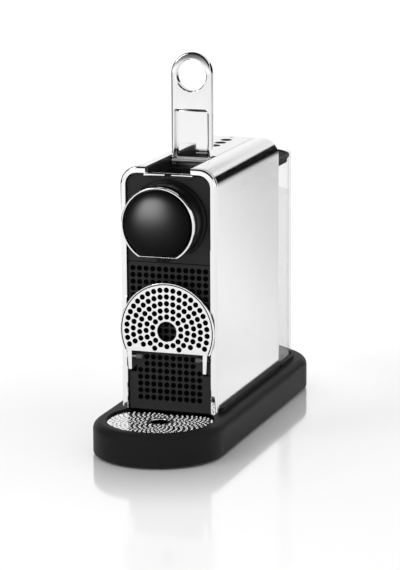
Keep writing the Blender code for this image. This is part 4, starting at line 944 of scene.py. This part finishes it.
def make_head():
    centre = (0.0, HEAD_Z)
    front_y, back_y = HOUSING_Y
    panel_y = PANEL_Y[0]
    neck = 35.2 * MM
    spigot, bore = 29.6 * MM, 27.0 * MM
    flange = 39.6 * MM
    flange_y = (panel_y - 5.0 * MM, panel_y - 0.9 * MM)
    edge = 1.2 * MM
    profile = [(bore, back_y), (spigot, back_y), (spigot, panel_y - GAP), (flange - 2.0 * MM, panel_y - GAP),
               (flange - 2.0 * MM, flange_y[1])]
    profile += [(flange - inset, flange_y[1] - depth) for inset, depth in rounding(0.5 * MM, 3)]
    profile += [(flange - inset, flange_y[0] + depth) for inset, depth in reversed(rounding(edge, 5))]
    profile += [
        (HEAD_RADIUS, flange_y[0] - 0.6 * MM),
        (HEAD_RADIUS, -127.9 * MM), (HEAD_RADIUS - 0.3 * MM, -128.5 * MM), (neck + 0.4 * MM, -129.4 * MM),
        (neck, -130.0 * MM), (neck, -133.2 * MM),
        (neck + 1.2 * MM, -133.9 * MM), (neck + 1.5 * MM, -134.4 * MM),
        (neck + 1.5 * MM, front_y + 0.3 * MM), (neck + 1.2 * MM, front_y), (0.0, front_y),
        (0.0, front_y + 3.0 * MM), (bore, front_y + 3.0 * MM),
    ]
    housing = turned("head_housing_fine", profile, centre, "Y", (HEAD_BLACK,), 160)
    spout_at = (0.0, middle_of(SPOUT_Y))
    flat = block("flat", (-0.1, 0.1), (-0.2, panel_y - GAP), (0.1, HEAD_FLAT_Z))
    drip_hole = rod("drip_hole", spout_at, "Z", 4.0 * MM, 0.18, 0.21)
    carved(housing, cut=(flat, drip_hole), edge=0.25 * MM, segments=2)
    mount(shade(housing, 35.0), "housing", "matte_black_plastic", "head_housing")

    lip = 0.9 * MM
    width = 1.9 * MM
    levels = [(0.0, RING_Y[1]), (0.0, RING_Y[0] + lip)]
    levels += [(inset, RING_Y[0] + depth) for inset, depth in reversed(rounding(lip, 7))][1:]
    outside = HEAD_RADIUS - 0.1 * MM
    rings = rings_of(lambda inset: head_outline(outside - inset, HEAD_FLAT_Z + inset), levels, "Y")
    ring = loft("head_ring_fine", rings, (CHROME,))
    levels = [(0.5 * MM, RING_Y[0] - MM), (0.35 * MM, RING_Y[0] + 0.15 * MM), (0.0, RING_Y[0] + lip),
              (0.0, RING_Y[1] + MM)]
    room = loft("room", rings_of(
        lambda more: head_outline(outside - width + more, HEAD_FLAT_Z + width * 0.6 - more), levels, "Y"))
    carved(ring, cut=(room,))
    mount(shade(ring, 45.0), "housing", "chrome", "head_ring")

    radius = 33.8 * MM
    root_y = RING_Y[0] + 2.0 * MM
    rise = root_y - DOME_Y[0]
    profile = [(0.0, DOME_Y[1]), (radius, DOME_Y[1])]
    turns = [0.5 * math.pi * k / 28 for k in range(28)]
    profile += [(radius * math.cos(t), root_y - rise * math.sin(t)) for t in turns]
    profile.append((0.0, DOME_Y[0]))
    dome = turned("head_dome_fine", profile, centre, "Y", (GLOSS,), 160)
    flat = block("flat", (-0.1, 0.1), (-0.2, -0.1), (0.1, HEAD_FLAT_Z + 2.4 * MM))
    carved(dome, cut=(flat,), edge=0.4 * MM)
    mount(shade(dome, 30.0), "housing", "gloss_black", "head_dome")

    foot_z, root_z = SPOUT_Z
    body = [
        (3.0 * MM, root_z), (5.2 * MM, root_z), (5.2 * MM, foot_z + 1.2 * MM), (4.8 * MM, foot_z + 0.6 * MM),
        (3.0 * MM, foot_z + 0.6 * MM),
    ]
    spout = turned("outlet_spout_fine", body, spout_at, "Z", (BLACK,), 64)
    ribs = []
    for k in range(7):
        turn = TAU * (k + 0.5) / 7
        at = (spout_at[0] + 5.2 * MM * math.cos(turn), spout_at[1] + 5.2 * MM * math.sin(turn))
        ribs.append(rod(f"rib_{k}", at, "Z", 1.75 * MM, foot_z, root_z, steps=20))
    carved(spout, add=ribs)
    mount(shade(spout, 40.0), "housing", "matte_black_plastic", "outlet_spout")


# ---------------------------------------------------------------- lever
def make_lever():
    front_y = -37.4 * MM
    thick = 9.0 * MM
    half = LEVER_X[1]
    edge = 1.6 * MM
    arc_z = LEVER_Z[1] - half
    outline = [(-half, LEVER_AXIS.z), (half, LEVER_AXIS.z)] + arc((0.0, arc_z), half, 0.0, 180.0, 72)
    ring_hole = (circle((0.0, LEVER_HOLE_Z), LEVER_HOLE_RADIUS, 96), through(thick, 1.7 * MM), False, 0)
    lever = painted_shade("lever_fine", outline, front_face(front_y), thick, edge, [ring_hole], (CHROME,))
    lever.modifiers.clear()
    ears = []
    for side in (-1, 1):
        xs = sorted((side * POCKET_X, side * half))
        ear = rod(f"ear_{side + 1}", LEVER_AXIS.yz, "X", 4.2 * MM, *xs, steps=64)
        ears.append(ear)
    fillet = 3.0 * MM
    floor_y = front_y + POCKET_DEPTH
    pocket_outline = rounded_box((-POCKET_X, LEVER_AXIS.z - 30.0 * MM), (POCKET_X, POCKET_TOP_Z), 3.4 * MM, 8)
    lip = 1.2 * MM
    levels = [(lip, front_y - 5.0 * MM)]
    levels += [(growth, front_y + depth) for growth, depth in rounding(lip, 6)]
    levels += [(-inset, floor_y - depth) for inset, depth in reversed(rounding(fillet, 7))]
    pocket = loft("pocket", rings_of(lambda growth: grown(pocket_outline, growth), levels, "Y"))
    pin_hole = rod("pin_hole", LEVER_AXIS.yz, "X", LEVER_BORE, -0.05, 0.05)
    carved(lever, add=ears, cut=(pocket, pin_hole))
    bend_z, slope_at_top = LEVER_Z[1] - 24.0 * MM, 0.35
    bend = slope_at_top / (2.0 * (LEVER_Z[1] - bend_z))
    for vertex in lever.data.vertices:
        above = max(0.0, vertex.co.z - bend_z)
        vertex.co.y += bend * above ** 2 * min(1.0, (LEVER_Y[1] - vertex.co.y) / thick)
    mount(shade(lever, 30.0), "lever", "chrome", "lever_handle")


# ---------------------------------------------------------------- cup support
def make_cup_support():
    """A chrome plate with five rings of pits round its hole, on two legs. The pits are coloured near black as
    painted shade.
    """
    front_y = SUPPORT_Y[0]
    thick = 2.5 * MM
    drop = SUPPORT_CENTRE_Z - SUPPORT_FLAT_Z
    reach = math.degrees(math.asin(drop / SUPPORT_RADIUS))
    centre = (0.0, SUPPORT_CENTRE_Z)
    outline = arc(centre, SUPPORT_RADIUS, -reach, 180.0 + reach, 140)
    stud_radius = 2.7 * MM
    stud = [(0.05 * MM, 0.0), (0.0, 0.1 * MM), (-0.05 * MM, 0.9 * MM), (-0.35 * MM, 1.2 * MM)]
    stud += [(-1.65 * MM, 1.25 * MM), (-1.75 * MM, 0.6 * MM), (-2.1 * MM, 0.6 * MM), (-2.2 * MM, 1.2 * MM)]
    holes = [(circle(centre, 9.9 * MM, 64), through(thick, 0.5 * MM), False, 0)]
    for radius, count in zip((14.8, 21.3, 28.0, 34.7, 41.4), (14, 20, 27, 33, 39)):
        for k in range(count):
            turn = math.pi / 2.0 + TAU * k / count
            place = (radius * MM * math.cos(turn), centre[1] + radius * MM * math.sin(turn))
            if place[1] > SUPPORT_FLAT_Z + 4.2 * MM:
                holes.append((circle(place, stud_radius, 24), stud, True, 1))
    # Material 1 colours the pits' insides near black: painted shade.
    looks = (CHROME, PAINTED_SHADE_BLACK)
    disc = painted_shade("cup_support_fine", outline, front_face(front_y), thick, 0.8 * MM, holes, looks)
    mount(disc, "cup_support", "chrome", "cup_support")
    # A near-black band set into the plate's face just inside its rim: a painted shadow line.
    rim = 0.9 * MM
    inner_edge = SUPPORT_RADIUS - 2.3 * MM
    outer_edge = SUPPORT_RADIUS - 1.2 * MM
    line = arc(centre, outer_edge, 0.5 - reach, 179.5 + reach, 120)
    line += arc(centre, inner_edge, 179.5 + reach, 0.5 - reach, 120)
    painted_shadow_line = prism("support_painted_shadow_line", line, "Y", front_y - 0.02 * MM, front_y + rim, (PAINTED_SHADE_BLACK,))
    finish_piece(painted_shadow_line, "cup_support", "chrome")
    for side, label in ((-1, "left"), (1, "right")):
        inner, outer = (side * x for x in LEG_X)
        foot_z = SUPPORT_Z[0]
        top_z = SUPPORT_FLAT_Z + 3.0 * MM
        leg_outline = [(inner, foot_z), (outer - side * 1.3 * MM, foot_z), (outer, top_z), (inner, top_z)]
        if side < 0:
            leg_outline.reverse()
        leg_y = (front_y + 0.05 * MM, front_y + thick)
        leg = prism(f"support_leg_{label}", leg_outline, "Y", *leg_y, (CHROME,), 0.5 * MM)
        ear_x = sorted((inner, outer - side * 0.9 * MM))
        ear = block(f"ear_{label}", ear_x, (front_y + thick - MM, SUPPORT_AXIS.y + 2.7 * MM),
                    (SUPPORT_AXIS.z - 2.7 * MM, SUPPORT_AXIS.z + 2.7 * MM))
        carved(leg, add=(ear,), cut=(rod("pin", SUPPORT_AXIS.yz, "X", SUPPORT_BORE, -0.06, 0.06),))
        finish_piece(leg, "cup_support", "chrome", "cup_support")
        arm_x = sorted(side * x for x in BRACKET_X)
        bracket = rod(f"pivot_bracket_{label}_fine", SUPPORT_AXIS.yz, "X", 2.4 * MM, *arm_x, (GREY,), 48)
        bracket_x, _, bracket_z = edges(f"pivot_bracket_{label}")
        arm = block("arm", arm_x, (SUPPORT_AXIS.y, -95.0 * MM), (86.5 * MM, 88.9 * MM))
        # The bracket's back plate is coloured near black: painted shade of the dark pocket behind the legs.
        plate_y = (-96.0 * MM, -94.3 * MM)
        back = block(f"pivot_bracket_{label}_plate", bracket_x, plate_y, bracket_z, (PAINTED_SHADE_BLACK,), 0.3 * MM)
        finish_piece(back, "drip_unit", "grey_plastic", f"pivot_bracket_{label}")
        carved(bracket, add=(arm,), cut=(rod("pin", SUPPORT_AXIS.yz, "X", SUPPORT_BORE, -0.06, 0.06),),
               edge=0.25 * MM, segments=2)
        finish_piece(bracket, "drip_unit", "grey_plastic", f"pivot_bracket_{label}")


def make_capsule_bin():
    wall = 2.0 * MM
    low_z, top_z = edges("capsule_bin")[2]
    make_open_box("capsule_bin", "drip_unit", wall, 3.0 * MM, (low_z + wall, top_z + 0.03), 0.5 * MM)


# ---------------------------------------------------------------- water tank
def make_tank():
    low_z, top_z = TANK_Z
    ledge_z = TANK_LID_Z[1] - 2.6 * MM
    levels = [(inset, low_z + depth) for inset, depth in rounding(1.2 * MM, 4)]
    levels += [(inset, top_z - depth) for inset, depth in reversed(rounding(0.6 * MM, 3))]
    tank = loft("water_tank_fine", rings_of(tank_outline, levels), (CLEAR,))
    carved(
        tank,
        cut=(
            prism("room", tank_outline(TANK_WALL), "Z", low_z + 2.6 * MM, ledge_z - 3.0 * MM),
            prism("neck", tank_outline(TANK_WALL + 1.4 * MM), "Z", 0.24, 0.26),
            prism("rim", tank_outline(TANK_WALL - 0.6 * MM), "Z", ledge_z, 0.26),
            rod("outlet", (0.0, REAR_CENTRE_Y), "Z", 4.7 * MM, 0.0, 0.05),
        ),
    )
    mount(shade(tank, 40.0), "tank", "clear_plastic", "water_tank")

    water_z = (low_z + 2.7 * MM, 212.0 * MM)
    water = prism("tank_water", tank_outline(TANK_WALL + 0.1 * MM), "Z", *water_z, (WATER,))
    valve_top = edges("tank_valve")[2][1]
    carved(water, cut=(rod("valve", (0.0, REAR_CENTRE_Y), "Z", 8.4 * MM, 0.0, valve_top + 0.4 * MM),))
    finish_piece(water, "tank", "clear_plastic")

    lid_z = (ledge_z + GAP, TANK_LID_Z[1])
    lid = prism("tank_lid_fine", tank_outline(TANK_WALL - 0.2 * MM), "Z", *lid_z, (LID_BLACK,))
    plug = prism("plug", tank_outline(TANK_WALL + 2.0 * MM), "Z", TANK_LID_Z[0], ledge_z + 1.5 * MM)
    dish = prism("dish", tank_outline(TANK_WALL + 3.0 * MM), "Z", TANK_LID_Z[1] - 0.6 * MM, 0.26)
    carved(lid, add=(plug,), cut=(dish,), edge=0.3 * MM)
    finish_piece(lid, "tank_lid", "charcoal_plastic", "tank_lid")


# ---------------------------------------------------------------- stage, light and camera
def make_floor():
    """A pale table top. Its polish fades away from the machine, so only the base is mirrored clearly."""
    polish, fade_length = 0.38, 0.15
    bm = bmesh.new()
    bmesh.ops.create_grid(bm, x_segments=1, y_segments=1, size=30.0)
    floor = solid("floor", bm)
    look = new_look("pale_floor", grey(0.99), 0.10, polish, Specular_IOR_Level=0.10)
    previous = add_node(look, "TexCoord").outputs["Object"]
    from_the_stadium = (
        ("ABSOLUTE", None), ("SUBTRACT", (0.0, REAR_CENTRE_Y, 0.0)), ("MAXIMUM", (0.0, 0.0, 0.0)),
        ("LENGTH", None),
    )
    for operation, value in from_the_stadium:
        step = add_node(look, "VectorMath", (previous, 0))
        step.operation = operation
        if value:
            step.inputs[1].default_value = value
        previous = step.outputs["Value" if operation == "LENGTH" else "Vector"]
    fade = add_node(look, "MapRange", (previous, "Value"), From_Min=BASE_RADIUS,
                    From_Max=BASE_RADIUS + fade_length, To_Min=polish, To_Max=0.0)
    fade.interpolation_type = "SMOOTHSTEP"
    feed(look, fade.outputs["Result"], "Metallic")
    floor.data.materials.append(look)


def make_card(name, corners, shades, one_sided=False):
    """A black card that only the first reflection in a polished surface sees.

    Its cover follows the way from its first edge to the opposite one, from (place, cover) stops.
    A one-sided card is clear from its underside.
    """
    bm = bmesh.new()
    way = bm.loops.layers.uv.new("way")
    face = bm.faces.new([bm.verts.new(corner) for corner in corners])
    for loop, at in zip(face.loops, (0.0, 0.0, 1.0, 1.0)):
        loop[way].uv = (at, 0.0)
    mesh = bpy.data.meshes.new(name)
    bm.to_mesh(mesh)
    bm.free()
    card = bpy.data.objects.new(name, mesh)
    bpy.context.scene.collection.objects.link(card)
    look = bpy.data.materials.new(name)
    look.use_nodes = True
    look.node_tree.nodes.clear()
    split = add_node(look, "SeparateXYZ", (add_node(look, "TexCoord").outputs["UV"], "Vector"))
    ramp = add_node(look, "ValToRGB", (split.outputs["X"], "Fac"))
    set_stops(ramp, [(at, grey(cover)) for at, cover in shades])
    first = maths(look, "LESS_THAN", add_node(look, "LightPath").outputs["Glossy Depth"], 1.5)
    amount = maths(look, "MULTIPLY", first.outputs["Value"], ramp.outputs["Color"])
    if one_sided:
        backfacing = add_node(look, "NewGeometry").outputs["Backfacing"]
        amount = maths(look, "SUBTRACT", amount.outputs["Value"], backfacing)
        amount.use_clamp = True
    black = add_node(look, "Emission", Color=(*grey(0.004), 1.0))
    clear = add_node(look, "BsdfTransparent")
    mixed = add_node(look, "MixShader", (amount.outputs["Value"], 0), (clear.outputs["BSDF"], 1),
                     (black.outputs["Emission"], 2))
    add_node(look, "OutputMaterial", (mixed.outputs["Shader"], "Surface"))
    card.data.materials.append(look)
    card.visible_camera = False
    card.visible_diffuse = False
    card.visible_transmission = False
    card.visible_shadow = False


def upright(xs, y, zs):
    """Corners of a card that stands along X."""
    return ((xs[0], y, zs[0]), (xs[1], y, zs[0]), (xs[1], y, zs[1]), (xs[0], y, zs[1]))


def make_cards():
    """Black flags round the machine, which draw the dark lines along its polished edges.

    They are placed for the photograph's angle. The floor cards shade what the side panels mirror.
    """
    wall_y, far_y, front_y = 2.0, 2.05, -2.8
    left_x, right_x = -3.0, 3.0
    low, higher, ceiling_z = 4.0 * MM, 5.0 * MM, 2.0
    solid_black = ((0.0, 1.0), (1.0, 1.0))
    for name, corners, shades, one_sided in (
        ("flag_rear", upright((0.42, 2.4), wall_y, (0.0, 0.80)),
         ((0.0, 0.30), (0.12, 0.55), (0.24, 0.80), (0.34, 0.95), (0.43, 1.0), (0.55, 1.0)), False),
        ("floor_rear", ((0.10, 1.25, low), (1.00, 1.25, low), (1.10, wall_y, low), (0.10, wall_y, low)),
         ((0.0, 0.0), (1.0, 0.30)), True),
        ("floor_fade",
         ((0.10, 0.185, higher), (0.835, 1.912, higher), (0.673, 1.981, higher), (-0.062, 0.254, higher)),
         ((0.0, 0.0), (0.11, 0.035), (0.40, 0.17), (0.56, 0.24), (1.0, 0.32)), True),
        ("floor_left", ((-1.30, -2.2, low), (-1.30, 3.0, low), (-6.0, 3.0, low), (-6.0, -2.2, low)),
         ((0.0, 0.65), (0.012, 1.0), (1.0, 1.0)), True),
        ("ceiling",
         ((left_x, front_y, ceiling_z), (2.6, front_y, ceiling_z),
          (2.6, 2.6, ceiling_z), (left_x, 2.6, ceiling_z)),
         solid_black, False),
        ("flag_left",
         ((left_x, 1.6, low), (left_x, front_y, low), (left_x, front_y, ceiling_z), (left_x, 1.6, ceiling_z)),
         ((0.0, 0.9), (1.0, 1.0)), False),
        ("flag_front", upright((left_x, right_x), front_y, (0.60, ceiling_z)),
         ((0.0, 0.0), (0.30, 0.45), (0.65, 0.75), (1.0, 0.92)), False),
        ("flag_soft", upright((0.42, 1.2), far_y, (0.80, 1.02)),
         ((0.0, 0.34), (0.35, 0.20), (1.0, 0.05)), False),
        ("wall_upper", upright((-2.0, 2.0), far_y, (0.50, 1.30)),
         ((0.0, 0.0), (0.12, 0.20), (0.64, 0.20), (0.72, 0.40), (0.80, 0.12), (1.0, 0.0)), False),
    ):
        make_card(name, corners, shades, one_sided)


def area_light(name, place, target, size, power):
    lamp = bpy.data.lights.new(name, "AREA")
    lamp.shape = "RECTANGLE"
    lamp.size, lamp.size_y = size
    lamp.energy = power
    made = bpy.data.objects.new(name, lamp)
    bpy.context.scene.collection.objects.link(made)
    made.location = place
    made.rotation_euler = (Vector(target) - Vector(place)).to_track_quat("-Z", "Y").to_euler()
    return made


def make_dome_light():
    """A softbox in front, to the left, that only the head's dome takes: its one soft highlight."""
    middle = Vector((0.0, RING_Y[0], HEAD_Z))
    towards = Vector((-0.4275, -0.8917, 0.158))
    lamp = area_light("dome_softbox", middle + 2.0 * towards, middle, (0.9, 0.9), 640.0)
    takers = bpy.data.collections.new("dome_light_takers")
    takers.objects.link(bpy.data.objects["head_dome_fine"])
    lamp.light_linking.receiver_collection = takers


WORLD_LEVELS = ((0.0, 1.32), (0.25, 1.25), (0.45, 1.0), (0.65, 0.9), (1.0, 0.8))


def make_world():
    """A white room that is brightest low down and a little darker towards its ceiling."""
    world = bpy.data.worlds.new("studio")
    bpy.context.scene.world = world
    world.use_nodes = True
    split = add_node(world, "SeparateXYZ", (add_node(world, "TexCoord").outputs["Generated"], "Vector"))
    ramp = add_node(world, "ValToRGB", (split.outputs["Z"], "Fac"))
    set_stops(ramp, [(at, grey(level)) for at, level in WORLD_LEVELS])
    feed(world, ramp.outputs["Color"], "Color", "Background")
    world.node_tree.nodes["Background"].inputs["Strength"].default_value = 1.0


def make_camera():
    """A long lens, turned to the machine's right and a little above it, level but for a slight roll."""
    lens = bpy.data.cameras.new("camera")
    lens.sensor_width = 36.0
    lens.lens = 171.95
    lens.clip_end = 100.0
    camera = bpy.data.objects.new("camera", lens)
    bpy.context.scene.collection.objects.link(camera)
    bpy.context.scene.camera = camera
    turn, rise, roll = math.radians(18.652), math.radians(11.95), math.radians(-0.341)
    distance = 2.7528
    aim = Vector((-4.354 * MM, 0.0, 138.558 * MM))
    back = Vector((math.sin(turn) * math.cos(rise), -math.cos(turn) * math.cos(rise), math.sin(rise)))
    right = back.cross(Vector((0.0, 0.0, -1.0))).normalized()
    up = back.cross(right)
    tilted = right * math.cos(roll) + up * math.sin(roll)
    tilted_up = up * math.cos(roll) - right * math.sin(roll)
    frame_axes = Matrix((tilted, tilted_up, back)).transposed().to_4x4()
    camera.matrix_world = Matrix.Translation(aim + back * distance) @ frame_axes


def dress_carried_nodes():
    """The CAD nodes that stay as they are get the look of their material slot."""
    slots = {part["node"]: part["material_slot"] for part in frame["record"]["subparts"]}
    for name, node in frame["nodes"].items():
        if node.hide_render:
            continue
        for entry in node.material_slots:
            entry.material = SLOT_LOOKS[slots[name]]


make_camera()
make_floor()
make_world()
make_cards()
area_light("key", (-1.3, -1.5, 1.6), (0.0, 0.0, 0.15), (0.8, 0.8), 10.0)
bpy.context.scene.view_settings.view_transform = "Standard"

make_base()
make_drip_tray()
make_drip_grid()
make_lower_panel()
make_upper_panel()
make_side_panels()
make_front_frame()
make_recess()
make_top_strip()
make_buttons()
make_rear_cover()
make_head()
make_lever()
make_cup_support()
make_capsule_bin()
make_tank()
dress_carried_nodes()
make_dome_light()
